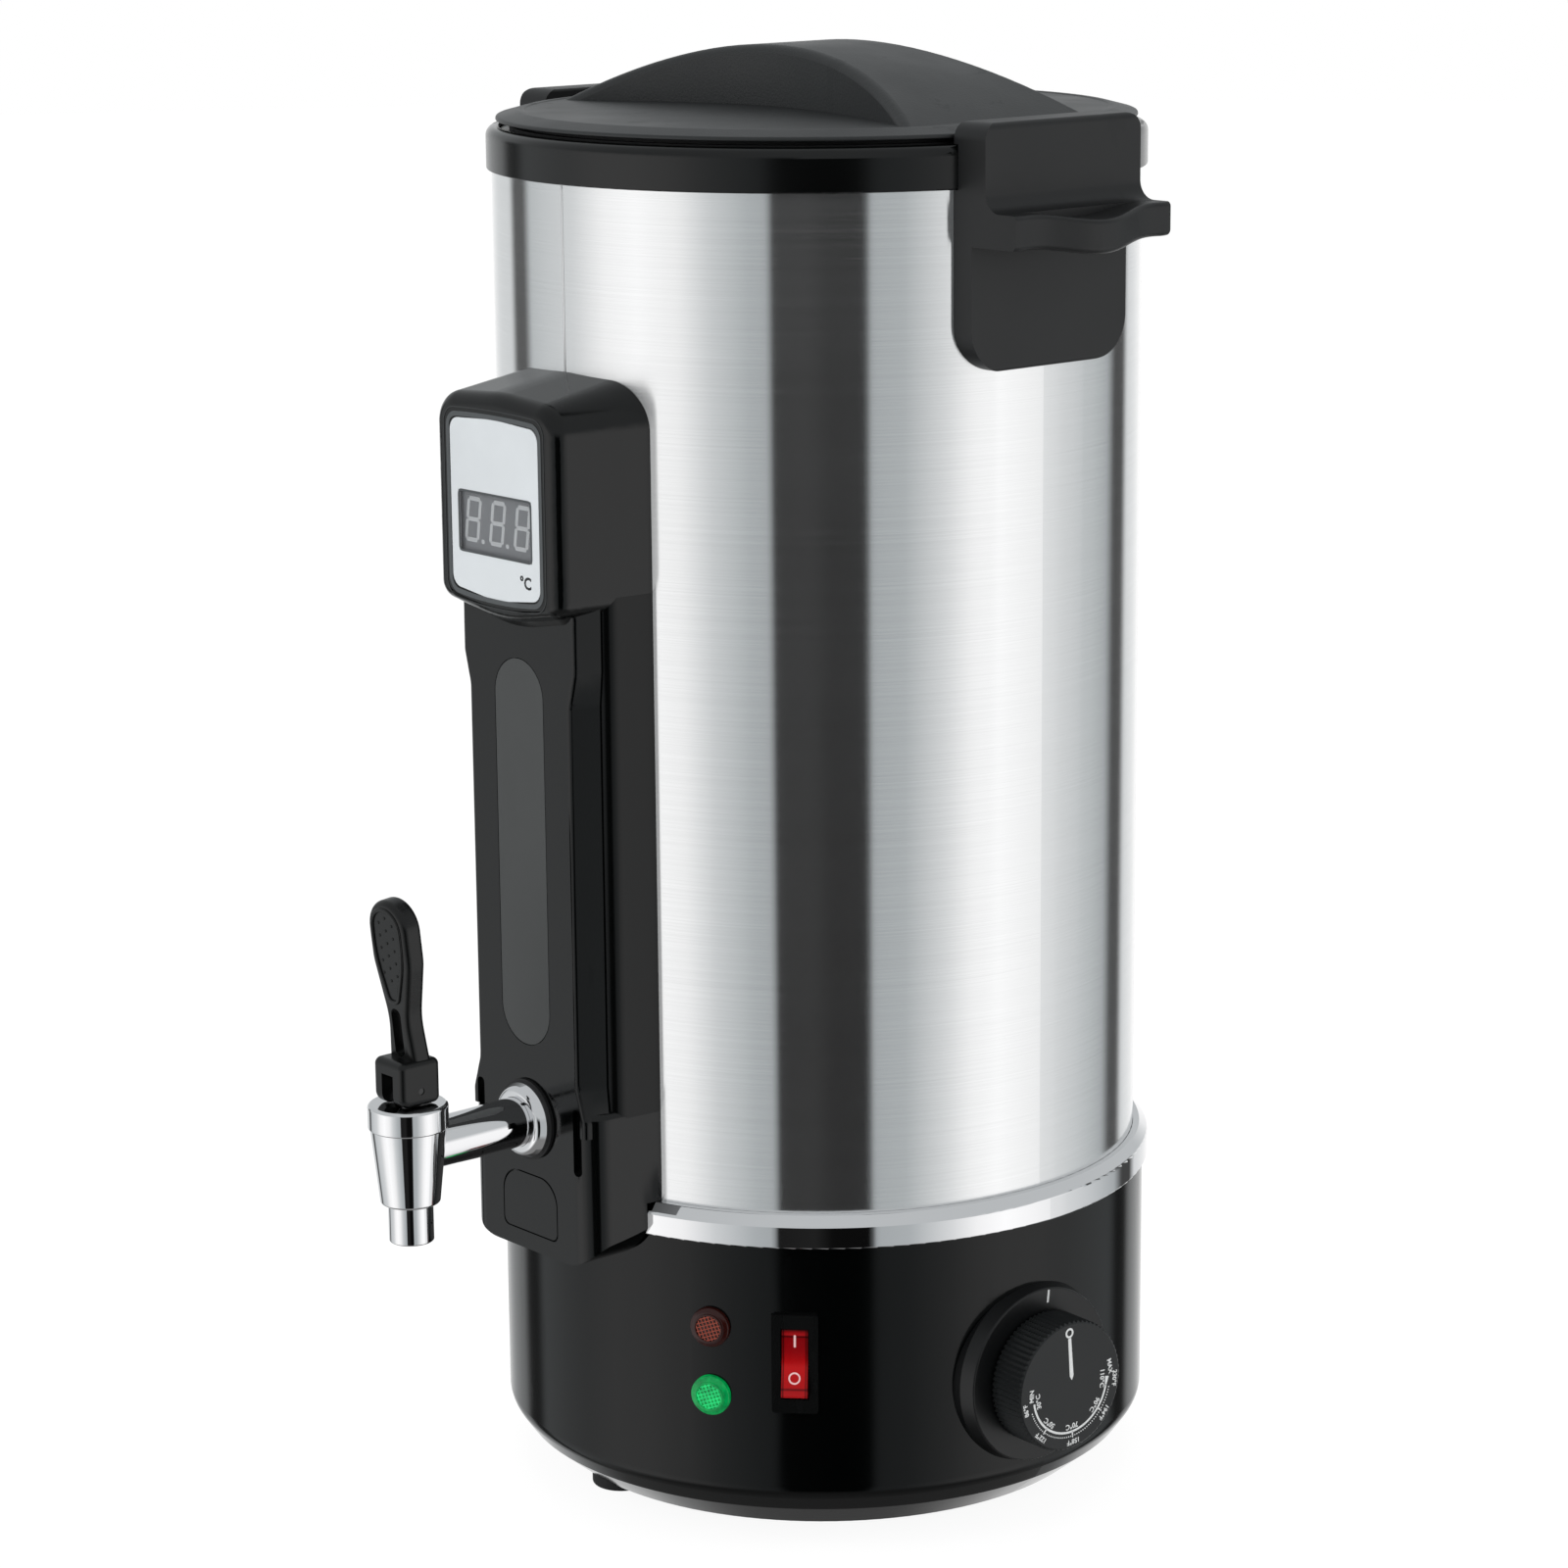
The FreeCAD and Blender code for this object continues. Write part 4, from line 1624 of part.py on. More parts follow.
def internal_wires():
    """Leads between inlet, terminal block, switch, lamps, thermostat and element."""
    block_top = FLOOR_Z + BLOCK_H - 5
    third = BLOCK_L / 3.4
    gap = (360.0 - ELEMENT_SWEEP) / 2
    leg_low = ELEMENT_Z - ELEMENT_LEG
    inlet_in = INLET_SEAT - INLET_BODY_D - TAB_L
    switch_in = BASE_R - SWITCH_SEAT - SWITCH_BODY_D - TAB_L
    lamp_in = LAMP_SEAT - LAMP_BODY_D - LAMP_LEG
    line = INLET_H - INLET_PIN_RISE
    routes = [
        [spot(INLET_AZ, inlet_in, line, INLET_PIN_PITCH),
         spot(INLET_AZ, inlet_in - WIRE_RUN_OUT - 2, line, INLET_PIN_PITCH),
         (BLOCK_X, BLOCK_Y, line), (BLOCK_X, BLOCK_Y, block_top)],
        [spot(180 + gap, ELEMENT_R, leg_low),
         spot(180 + gap, ELEMENT_R, leg_low - WIRE_RUN_OUT_LONG),
         (BLOCK_X - third, BLOCK_Y, leg_low - WIRE_ELEMENT_DROP), (BLOCK_X - third, BLOCK_Y, block_top)],
        [spot(INLET_AZ, inlet_in, line, -INLET_PIN_PITCH),
         spot(INLET_AZ, inlet_in - WIRE_RUN_OUT, line, -INLET_PIN_PITCH),
         spot(SWITCH_AZ, switch_in - 2 * WIRE_RUN_OUT - 2, WIRE_SWITCH_H),
         spot(SWITCH_AZ, switch_in - WIRE_RUN_OUT, SWITCH_H - TAB_PITCH),
         spot(SWITCH_AZ, switch_in, SWITCH_H - TAB_PITCH)],
        [spot(LAMP_AZ, lamp_in, GREEN_LAMP_H, -LAMP_LEG_PITCH / 2),
         spot(LAMP_AZ, lamp_in - WIRE_RUN_OUT_LONG, GREEN_LAMP_H, -LAMP_LEG_PITCH / 2),
         (BLOCK_X + third, BLOCK_Y, WIRE_LAMP_H), (BLOCK_X + third, BLOCK_Y, block_top)],
    ]
    return group([wire_route(points) for points in routes])


# ================================================================ parts
NODES = (
    base_shell, base_plate, rubber_feet, foot_screws, chrome_band, shell_screws, outer_shell, top_ring,
    inner_pot,
    pot_stud, heater_plate, heating_element, heater_clamp, stud_nuts, heat_shield, thermal_cutout,
    thermostat_bulb,
    thermostat_body, thermostat_screws, knob_bezel, control_knob, knob_spindle, switch_housing, switch_rocker,
    switch_terminals, red_lamp, green_lamp, lamp_nuts, power_inlet, inlet_pins, inlet_screws, terminal_block,
    handle_right, handle_left, handle_screws, lid_shell, lid_liner, lid_seal, lid_screws, column_cover,
    column_frame,
    column_screws, display_label, display_window, display_module, grip_insert, tap_hatch, temperature_probe,
    tap_body, tap_bonnet, tap_stem, tap_seat, tap_spring, lever_pin, tap_lever, tap_gasket, tap_washer,
    shank_seals,
    shank_nuts, internal_wires,
)


def main():
    os.makedirs("parts", exist_ok=True)
    for build in NODES:
        shape = build()
        if not shape.isValid():
            print("not valid:", build.__name__)
        print("%-20s solids %d volume %.0f" % (build.__name__, len(shape.Solids), shape.Volume))
        shape.exportStep("parts/" + build.__name__ + ".step")


main()
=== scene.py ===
import math

import bmesh
import bpy
from mathutils import Matrix, Vector


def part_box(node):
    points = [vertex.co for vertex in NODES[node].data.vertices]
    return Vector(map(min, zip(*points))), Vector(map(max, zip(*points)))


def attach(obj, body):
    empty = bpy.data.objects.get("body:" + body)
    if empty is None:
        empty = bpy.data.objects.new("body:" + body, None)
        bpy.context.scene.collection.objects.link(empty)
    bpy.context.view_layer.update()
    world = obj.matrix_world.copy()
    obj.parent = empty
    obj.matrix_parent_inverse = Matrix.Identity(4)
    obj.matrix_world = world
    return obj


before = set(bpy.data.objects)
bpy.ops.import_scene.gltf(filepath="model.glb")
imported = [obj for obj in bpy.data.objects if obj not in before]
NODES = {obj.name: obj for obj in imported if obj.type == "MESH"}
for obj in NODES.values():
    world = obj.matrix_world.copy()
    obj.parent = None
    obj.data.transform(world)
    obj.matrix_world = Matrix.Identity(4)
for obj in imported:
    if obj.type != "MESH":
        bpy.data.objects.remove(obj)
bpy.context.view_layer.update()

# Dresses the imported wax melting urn.  All lengths are in metres, +Z up, the tap at -Y.
# An azimuth is counted from -Y towards +X, in degrees, as in the model itself.

MM = 0.001

# ------------------------------------------------------------------ sizes taken from the model
RING_LOW = 0.415               # underside of the top ring
SHELL_R = 0.1
HEAD_TOP = 0.3478              # where the shell comes into view above the display head
HEAD_REACH = 0.1274            # face of the display head, from the pot's axis
MODULE_REACH = 0.1261          # face of the display module behind its window
KNOB_PLACE = (87.0, 0.1205, 0.051)      # azimuth, reach and height of the knob's face
BEZEL_REACH = 0.107
SWITCH_AZ = 43.5
SWITCH_H = 0.0622
ROCKER_PIVOT = 0.10205
LAMP_AZ = 28.9
LAMP_HEIGHTS = {"red": 0.0721, "green": 0.0502}
LAMP_SEAT = 0.10285            # where a lamp stands on the base, from the pot's axis
TAP_REACH = 0.165
LEVER_FOOT = 0.162             # where the lever's arm leaves its block
LEVER_LEAN = 6.0
CAMERA_AZ = 48.5


def outward(azimuth):
    angle = math.radians(azimuth)
    return Vector((math.sin(angle), -math.cos(angle), 0.0))


# ------------------------------------------------------------------ node helpers


def add_node(tree, kind, **values):
    """A shader node with its properties set."""
    node = tree.nodes.new(kind)
    for name, value in values.items():
        setattr(node, name, value)
    return node


def math_node(tree, operation, first, second=None, clamp=False):
    """A Math node; its inputs are sockets or numbers."""
    node = add_node(tree, "ShaderNodeMath", operation=operation, use_clamp=clamp)
    for index, value in enumerate((first, second)):
        if value is None:
            continue
        if isinstance(value, (int, float)):
            node.inputs[index].default_value = value
        else:
            tree.links.new(value, node.inputs[index])
    return node.outputs[0]


def ramp(tree, factor, stops):
    """A colour ramp from (position, grey or colour) stops."""
    node = add_node(tree, "ShaderNodeValToRGB")
    elements = node.color_ramp.elements
    while len(elements) < len(stops):
        elements.new(0.5)
    for element, (position, colour) in zip(elements, stops):
        element.position = position
        level = (colour,) * 3 if isinstance(colour, (int, float)) else tuple(colour)
        element.color = level + (1.0,)
    tree.links.new(factor, node.inputs[0])
    return node.outputs[0]


def mix_colour(tree, factor, first, second, blend="MIX"):
    """A Mix node on colours; each input is a socket or a value."""
    node = add_node(tree, "ShaderNodeMix", data_type="RGBA", blend_type=blend)
    colour_sockets = node.inputs[0], node.inputs[6], node.inputs[7]
    for socket, value in zip(colour_sockets, (factor, first, second)):
        if isinstance(value, bpy.types.NodeSocket):
            tree.links.new(value, socket)
        elif isinstance(value, (int, float)):
            socket.default_value = value
        else:
            socket.default_value = tuple(value) + (1.0,) * (4 - len(value))
    return node.outputs[2]


def noise(tree, vector, scale, detail, roughness=0.5):
    node = add_node(tree, "ShaderNodeTexNoise")
    node.inputs["Scale"].default_value = scale
    node.inputs["Detail"].default_value = detail
    node.inputs["Roughness"].default_value = roughness
    tree.links.new(vector, node.inputs["Vector"])
    return node.outputs["Fac"]


def stretched(tree, vector, scale):
    """The vector scaled by its own factor along each axis."""
    node = add_node(tree, "ShaderNodeMapping")
    node.inputs["Scale"].default_value = scale
    tree.links.new(vector, node.inputs["Vector"])
    return node.outputs[0]


def object_place(tree):
    return add_node(tree, "ShaderNodeTexCoord").outputs["Object"]


def upright_part(tree, vector):
    node = add_node(tree, "ShaderNodeSeparateXYZ")
    tree.links.new(vector, node.inputs[0])
    return node.outputs["Z"]


def part_towards(tree, vector, azimuth):
    """How far a vector reaches towards an azimuth."""
    node = add_node(tree, "ShaderNodeVectorMath", operation="DOT_PRODUCT")
    node.inputs[1].default_value = outward(azimuth)
    tree.links.new(vector, node.inputs[0])
    return node.outputs["Value"]


def relief(tree, strength, height, depth):
    """A normal tilted by a height field of the given depth."""
    node = add_node(tree, "ShaderNodeBump")
    node.inputs["Distance"].default_value = depth
    tree.links.new(strength, node.inputs["Strength"])
    tree.links.new(height, node.inputs["Height"])
    return node.outputs[0]


# ------------------------------------------------------------------ shared surface effects


def new_group(name, inputs):
    """A surface group with number inputs; returns the group and its end nodes."""
    group = bpy.data.node_groups.new(name, "ShaderNodeTree")
    for socket in inputs:
        group.interface.new_socket(name=socket, in_out="INPUT", socket_type="NodeSocketFloat")
    for socket, kind in (("Roughness", "Float"), ("Shade", "Float"), ("Normal", "Vector")):
        group.interface.new_socket(name=socket, in_out="OUTPUT", socket_type="NodeSocket" + kind)
    return group, group.nodes.new("NodeGroupInput"), group.nodes.new("NodeGroupOutput")


def moulded_surface():
    """Injection-moulded plastic: fine spark texture, mottled gloss and faint handling marks."""
    cloud_scale, smear_level = 38.0, 0.62
    group, start, end = new_group(
        "moulded_surface", ("Grain", "Depth", "Gloss", "Mottle", "Marks"))
    place = object_place(group)
    grain = add_node(group, "ShaderNodeTexNoise")
    grain.inputs["Detail"].default_value = 1.0
    group.links.new(place, grain.inputs["Vector"])
    group.links.new(start.outputs["Grain"], grain.inputs["Scale"])
    clouds = noise(group, place, cloud_scale, 3.0)
    smears = noise(group, stretched(group, place, (60.0, 60.0, 14.0)), 1.0, 5.0, 0.62)
    smear = math_node(group, "MULTIPLY",
                      math_node(group, "GREATER_THAN", smears, smear_level), smears)
    mottle = math_node(group, "MULTIPLY", math_node(group, "SUBTRACT", clouds, 0.5),
                       start.outputs["Mottle"])
    rough = math_node(group, "ADD", start.outputs["Gloss"],
                      math_node(group, "MULTIPLY", mottle, 2.0))
    rough = math_node(group, "ADD", rough,
                      math_node(group, "MULTIPLY", smear, start.outputs["Marks"]), clamp=True)
    group.links.new(rough, end.inputs["Roughness"])
    shade = math_node(group, "ADD", 0.9, math_node(group, "MULTIPLY", clouds, 0.2))
    group.links.new(shade, end.inputs["Shade"])
    normal = relief(group, start.outputs["Depth"], grain.outputs["Fac"], 0.00005)
    group.links.new(normal, end.inputs["Normal"])
    return group


def brushed_lines():
    """Satin metal brushed round the upright axis: fine level hairlines of many lengths."""
    fine_share, broad_share, cloud_share = 0.94, 0.06, 0.04
    group, start, end = new_group(
        "brushed_lines", ("Fineness", "Depth", "Gloss", "Spread", "Streak"))
    place = object_place(group)
    scaled = add_node(group, "ShaderNodeVectorMath", operation="SCALE")
    group.links.new(place, scaled.inputs[0])
    group.links.new(start.outputs["Fineness"], scaled.inputs["Scale"])
    fine = noise(group, stretched(group, scaled.outputs[0], (9.0, 9.0, 3600.0)), 1.0, 3.0, 0.6)
    broad = noise(group, stretched(group, scaled.outputs[0], (4.0, 4.0, 520.0)), 1.0, 2.0)
    clouds = noise(group, place, 9.0, 2.0)
    lines = math_node(group, "ADD", math_node(group, "MULTIPLY", fine, fine_share),
                      math_node(group, "MULTIPLY", broad, broad_share))
    centred = math_node(group, "SUBTRACT", lines, 0.5)
    drift = math_node(group, "MULTIPLY", math_node(group, "SUBTRACT", clouds, 0.5), cloud_share)
    rough = math_node(group, "ADD", start.outputs["Gloss"],
                      math_node(group, "MULTIPLY", centred, start.outputs["Spread"]))
    rough = math_node(group, "ADD", rough, drift, clamp=True)
    group.links.new(rough, end.inputs["Roughness"])
    streaks = math_node(group, "MULTIPLY", centred, start.outputs["Streak"])
    group.links.new(math_node(group, "ADD", 1.0, streaks), end.inputs["Shade"])
    normal = relief(group, start.outputs["Depth"], lines, 0.00002)
    group.links.new(normal, end.inputs["Normal"])
    return group


MOULDED = moulded_surface()
BRUSHED = brushed_lines()


def new_material(name):
    """A node material, its tree and its Principled shader."""
    made = bpy.data.materials.new(name)
    made.use_nodes = True
    return made, made.node_tree, made.node_tree.nodes["Principled BSDF"]


def finish_of(name, colour, group, group_values, **settings):
    """A Principled material whose colour, roughness and normal come from a surface group."""
    made, tree, shader = new_material(name)
    shader.inputs["Base Color"].default_value = tuple(colour) + (1.0,)
    for key, value in settings.items():
        shader.inputs[key.replace("_", " ").title().replace("Ior", "IOR")].default_value = value
    if "anisotropic" in settings:
        lines = add_node(tree, "ShaderNodeTangent", direction_type="RADIAL", axis="Z")
        tree.links.new(lines.outputs[0], shader.inputs["Tangent"])
        shader.inputs["Anisotropic Rotation"].default_value = 0.25
    effect = add_node(tree, "ShaderNodeGroup", node_tree=group)
    for key, value in group_values.items():
        effect.inputs[key].default_value = value
    tree.links.new(effect.outputs["Roughness"], shader.inputs["Roughness"])
    tree.links.new(effect.outputs["Normal"], shader.inputs["Normal"])
    shaded = mix_colour(tree, 1.0, tuple(colour), effect.outputs["Shade"], "MULTIPLY")
    tree.links.new(shaded, shader.inputs["Base Color"])
    return made


def plastic(name, colour, grain=900.0, depth=0.2, gloss=0.3, mottle=0.06, marks=0.05, **settings):
    values = {"Grain": grain, "Depth": depth, "Gloss": gloss, "Mottle": mottle, "Marks": marks}
    return finish_of(name, colour, MOULDED, values, **settings)


def metal(name, colour, fineness=1.0, depth=0.1, gloss=0.25, spread=0.1, streak=0.2, **settings):
    values = {"Fineness": fineness, "Depth": depth, "Gloss": gloss, "Spread": spread,
              "Streak": streak}
    return finish_of(name, colour, BRUSHED, values, **{"metallic": 1.0, **settings})


def srgb(*levels):
    """Linear colour from 0-255 screen levels."""
    return tuple(((c / 255 + 0.055) / 1.055) ** 2.4 if c > 10 else c / 255 / 12.92
                 for c in levels)


base_black = plastic("base_black", srgb(2, 3, 3), grain=2600, depth=0.03, gloss=0.12, mottle=0.02,
                     specular_ior_level=0.3)
ring_black = plastic("ring_black", srgb(5, 6, 6), grain=2600, depth=0.06, gloss=0.18, mottle=0.03,
                     specular_ior_level=0.42)
column_black = plastic("column_black", srgb(4, 5, 5), grain=2600, depth=0.03, gloss=0.13,
                       mottle=0.02, specular_ior_level=0.4)
frame_black = plastic("frame_black", srgb(4, 5, 5), grain=2600, depth=0.05, gloss=0.2, mottle=0.03,
                      specular_ior_level=0.3)
handle_black = plastic("handle_black", srgb(19, 20, 21), grain=2200, depth=0.35, gloss=0.42,
                       specular_ior_level=0.42)
lid_black = plastic("lid_black", srgb(32, 34, 35), grain=1300, depth=1.0, gloss=0.42, mottle=0.1,
                    marks=0.08, specular_ior_level=0.5)
bezel_black = plastic("bezel_black", srgb(13, 14, 15), grain=2400, depth=0.15, gloss=0.33,
                      specular_ior_level=0.38)
knob_black = plastic("knob_black", srgb(27, 29, 30), grain=2400, depth=0.2, gloss=0.42,
                     specular_ior_level=0.34)
switch_black = plastic("switch_black", srgb(5, 6, 6), grain=2600, depth=0.1, gloss=0.26,
                       specular_ior_level=0.3)
inlet_black = plastic("inlet_black", srgb(22, 22, 23), grain=2400, depth=0.2, gloss=0.4)
lever_black = plastic("lever_black", srgb(9, 10, 10), grain=2400, depth=0.1, gloss=0.28,
                      specular_ior_level=0.4)
insert_grey = plastic("insert_grey", srgb(62, 64, 64), grain=2600, depth=0.06, gloss=0.4,
                      mottle=0.04, specular_ior_level=0.4)
label_grey = plastic("label_grey", srgb(214, 219, 222), grain=2600, depth=0.04, gloss=0.42,
                     mottle=0.02)
border_grey = plastic("border_grey", srgb(70, 74, 76), grain=1600, depth=0.25, gloss=0.34,
                      marks=0.3)
# A mid-grey for the lip round the label, lighter than the head's black, with marks in its
# roughness.
label_lip_grey = plastic("label_lip_grey", srgb(34, 36, 37), grain=700, depth=0.7, gloss=0.3, marks=0.5)
ink_black = plastic("ink_black", srgb(38, 40, 42), grain=2600, depth=0.03, gloss=0.4)
print_white = plastic("print_white", srgb(222, 224, 224), grain=2600, depth=0.05, gloss=0.5,
                      mottle=0.04)
print_pink = plastic("print_pink", srgb(240, 196, 196), grain=2600, depth=0.03, gloss=0.35)
gasket_rubber = plastic("gasket_rubber", srgb(20, 20, 21), grain=1500, depth=0.3, gloss=0.6)
foot_rubber = plastic("foot_rubber", srgb(22, 22, 23), grain=1200, depth=0.4, gloss=0.7)
silicone = plastic("silicone", srgb(205, 205, 200), grain=900, depth=0.2, gloss=0.5)
ceramic = plastic("ceramic", srgb(226, 222, 212), grain=900, depth=0.2, gloss=0.5)
wire_skin = plastic("wire_skin", srgb(150, 118, 96), grain=900, depth=0.1, gloss=0.5)
stat_case = plastic("stat_case", srgb(188, 184, 170), grain=700, depth=0.3, gloss=0.5)
cutout_black = plastic("cutout_black", srgb(40, 38, 36), grain=900, depth=0.2, gloss=0.5)
display_grey = plastic("display_grey", srgb(112, 116, 119), grain=2000, depth=0.05, gloss=0.35)
segment_grey = plastic("segment_grey", srgb(188, 192, 194), grain=2000, depth=0.05, gloss=0.3)
brushed_shell = metal("brushed_shell", (0.86, 0.865, 0.868), gloss=0.13, depth=0.1, spread=0.08,
                      streak=0.22, anisotropic=0.95, metallic=0.972)
weld_steel = metal("weld_steel", (0.9, 0.9, 0.9), fineness=2.0, gloss=0.5)
pot_steel = metal("pot_steel", (0.66, 0.66, 0.65), fineness=0.6, gloss=0.3, depth=0.1,
                  anisotropic=0.5)
sheet_steel = metal("sheet_steel", (0.6, 0.6, 0.6), fineness=0.5, gloss=0.4)
screw_steel = metal("screw_steel", (0.62, 0.62, 0.62), fineness=2.0, gloss=0.3)
# Dark steel as painted shade: the screws' cross slots and the lever's pin in its hole.
painted_shade_dark = metal("painted_shade_dark", (0.09, 0.09, 0.09), fineness=2.0, gloss=0.5)
spring_steel = metal("spring_steel", (0.5, 0.5, 0.5), fineness=2.0, gloss=0.32)
element_steel = metal("element_steel", (0.32, 0.3, 0.28), fineness=0.5, gloss=0.5, spread=0.2)
cast_chrome = metal("cast_chrome", (0.88, 0.88, 0.89), fineness=0.3, gloss=0.04, depth=0.0,
                    spread=0.02, streak=0.02)
aluminium = metal("aluminium", (0.75, 0.75, 0.76), fineness=0.7, gloss=0.42)
brass = metal("brass", (0.8, 0.62, 0.3), fineness=2.0, gloss=0.3)
copper = metal("copper", (0.85, 0.48, 0.32), fineness=2.0, gloss=0.3)


def lit_plastic(name, colour, glow, strength):
    """Clear tinted plastic with a lamp behind it: the glow is mottled by the lens."""
    made = plastic(name, colour, grain=2000, depth=0.04, gloss=0.14, mottle=0.02,
                   specular_ior_level=0.36)
    tree = made.node_tree
    shader = tree.nodes["Principled BSDF"]
    patches = noise(tree, object_place(tree), 420.0, 2.0, 0.6)
    tint = ramp(tree, patches, [(0.3, tuple(0.3 * c for c in glow)), (0.7, glow)])
    tree.links.new(tint, shader.inputs["Emission Color"])
    shader.inputs["Emission Strength"].default_value = strength
    return made


ROCKER_PAINTED_SHADING = (                # painted light and shade up the rocker, from its lower to its upper end
    (0.0, (60, 4, 8)), (0.03, (172, 22, 26)), (0.135, (164, 16, 20)), (0.16, (84, 3, 7)),
    (0.185, (172, 12, 16)), (0.45, (184, 14, 18)), (0.58, (160, 5, 11)), (0.68, (140, 2, 9)),
    (0.875, (132, 1, 8)), (0.9, (50, 0, 3)), (0.925, (172, 20, 26)), (0.965, (146, 10, 16)),
    (1.0, (48, 3, 6)))
ROCKER_PAINTED_EDGE_SHADE = (                  # painted shade from the rocker's middle line to its sides, with a painted highlight near the edge
    (0.0, 1.0), (0.78, 1.0), (0.84, 0.3), (0.89, 0.35), (0.94, 0.85), (1.0, 0.5))
ROCKER_FOOT = SWITCH_H - 0.0106
ROCKER_LENGTH = 0.0214
ROCKER_HALF_WIDTH = 0.004


def rocker_with_painted_shading():
    """Clear red plastic with painted light and shade: painted lighter on its pressed half, with
    painted dark shade along its edges.
    """
    made = plastic("rocker_red", srgb(150, 3, 9), grain=2000, depth=0.04, gloss=0.16, mottle=0.02,
                   specular_ior_level=0.18)
    tree = made.node_tree
    place = object_place(tree)
    climb = math_node(tree, "SUBTRACT", upright_part(tree, place), ROCKER_FOOT)
    climb = math_node(tree, "DIVIDE", climb, ROCKER_LENGTH)
    # Painted light and shade: lighter and darker bands up the rocker, with dark painted lines at
    # its edges.
    painted_bands = ramp(tree, climb, [(where, srgb(*levels)) for where, levels in ROCKER_PAINTED_SHADING])
    aside = math_node(tree, "ABSOLUTE", part_towards(tree, place, SWITCH_AZ + 90))
    # Painted shade: the rocker is darkened towards its sides, with a painted highlight strip near
    # the edge.
    rim = ramp(tree, math_node(tree, "DIVIDE", aside, ROCKER_HALF_WIDTH), ROCKER_PAINTED_EDGE_SHADE)
    tree.links.new(mix_colour(tree, 1.0, painted_bands, rim, "MULTIPLY"),
                   tree.nodes["Principled BSDF"].inputs["Base Color"])
    return made


rocker_red = rocker_with_painted_shading()
lamp_red = lit_plastic("lamp_red", srgb(40, 12, 9), srgb(120, 30, 20), 0.02)
# The ridges' copies of the lens plastic are painted lighter and glow more: painted highlight on the
# ridges.
lamp_red_ridge_highlight = lit_plastic("lamp_red_ridge_highlight", srgb(136, 60, 44), srgb(190, 84, 60), 0.07)
lamp_green = lit_plastic("lamp_green", srgb(0, 92, 52), srgb(0, 230, 108), 0.36)
lamp_green_ridge_highlight = lit_plastic("lamp_green_ridge_highlight", srgb(20, 160, 90), srgb(40, 250, 140), 0.55)


def clear_window():
    """Smoked clear plastic with faint wiping marks."""
    made, tree, shader = new_material("window_pane")
    shader.inputs["Base Color"].default_value = (0.3, 0.3, 0.32, 1.0)
    smears = noise(tree, stretched(tree, object_place(tree), (160.0, 160.0, 60.0)), 1.0, 3.0)
    rough = math_node(tree, "ADD", 0.04, math_node(tree, "MULTIPLY", smears, 0.06))
    tree.links.new(rough, shader.inputs["Roughness"])
    shader.inputs["IOR"].default_value = 1.49
    shader.inputs["Alpha"].default_value = 0.1
    return made


window_pane = clear_window()

FINISHES = {
    base_black: "base_shell",
    ring_black: "top_ring",
    column_black: "column_cover tap_hatch",
    frame_black: "column_frame",
    handle_black: "handle_right handle_left",
    lid_black: "lid_shell",
    bezel_black: "knob_bezel",
    knob_black: "control_knob",
    switch_black: "switch_housing",
    inlet_black: "power_inlet base_plate",
    lever_black: "tap_lever",
    insert_grey: "grip_insert",
    label_grey: "display_label",
    gasket_rubber: "tap_gasket lid_seal",
    foot_rubber: "rubber_feet",
    silicone: "tap_seat shank_seals",
    ceramic: "terminal_block",
    wire_skin: "internal_wires",
    stat_case: "thermostat_body",
    cutout_black: "thermal_cutout",
    display_grey: "display_module",
    window_pane: "display_window",
    brushed_shell: "outer_shell",
    pot_steel: "inner_pot lid_liner temperature_probe",
    sheet_steel: "heat_shield heater_clamp",
    screw_steel: "foot_screws shell_screws column_screws handle_screws lid_screws inlet_screws "
                 "thermostat_screws stud_nuts pot_stud lamp_nuts shank_nuts tap_stem",
    spring_steel: "tap_spring",
    painted_shade_dark: "lever_pin",
    element_steel: "heating_element",
    cast_chrome: "chrome_band tap_body tap_bonnet tap_washer",
    aluminium: "heater_plate",
    brass: "knob_spindle switch_terminals inlet_pins",
    copper: "thermostat_bulb",
    rocker_red: "switch_rocker",
    lamp_red: "red_lamp",
    lamp_green: "green_lamp",
}
for material, names in FINISHES.items():
    for name in names.split():
        for place in NODES[name].material_slots:
            place.material = material

# ------------------------------------------------------------------ modelling helpers
# A piece on a wall is drawn face-on: x runs across, y up and z out of the wall.

SHARP = math.radians(35.0)      # an edge that turns by more is a corner, not a curve


def fresh():
    """Back in object mode with nothing selected."""
    if bpy.context.mode != "OBJECT":
        bpy.ops.object.mode_set(mode="OBJECT")
    bpy.ops.object.select_all(action="DESELECT")


def take(piece):
    fresh()
    piece.select_set(True)
    bpy.context.view_layer.objects.active = piece


def shape(piece):
    take(piece)
    bpy.ops.object.mode_set(mode="EDIT")


def middle(item):
    corners = [item.co] if isinstance(item, bmesh.types.BMVert) else [v.co for v in item.verts]
    return sum(corners, Vector()) / len(corners)


def choose(piece, kind, test):
    """Selects the verts, edges or faces whose middle passes the test, and nothing else."""
    bpy.ops.mesh.select_mode(type=kind[:-1].upper())
    bpy.ops.mesh.select_all(action="DESELECT")
    mesh = bmesh.from_edit_mesh(piece.data)
    for item in getattr(mesh, kind):
        if test(middle(item)):
            item.select_set(True)
    mesh.select_flush_mode()
    bmesh.update_edit_mesh(piece.data)


def settle(piece):
    """Applies the object's place, turn and scale to its mesh."""
    take(piece)
    bpy.ops.object.transform_apply(location=True, rotation=True, scale=True)


def thicken(piece, thickness):
    take(piece)
    wall = piece.modifiers.new("wall", "SOLIDIFY")
    wall.thickness = thickness
    wall.offset = 0.0
    bpy.ops.object.modifier_apply(modifier=wall.name)


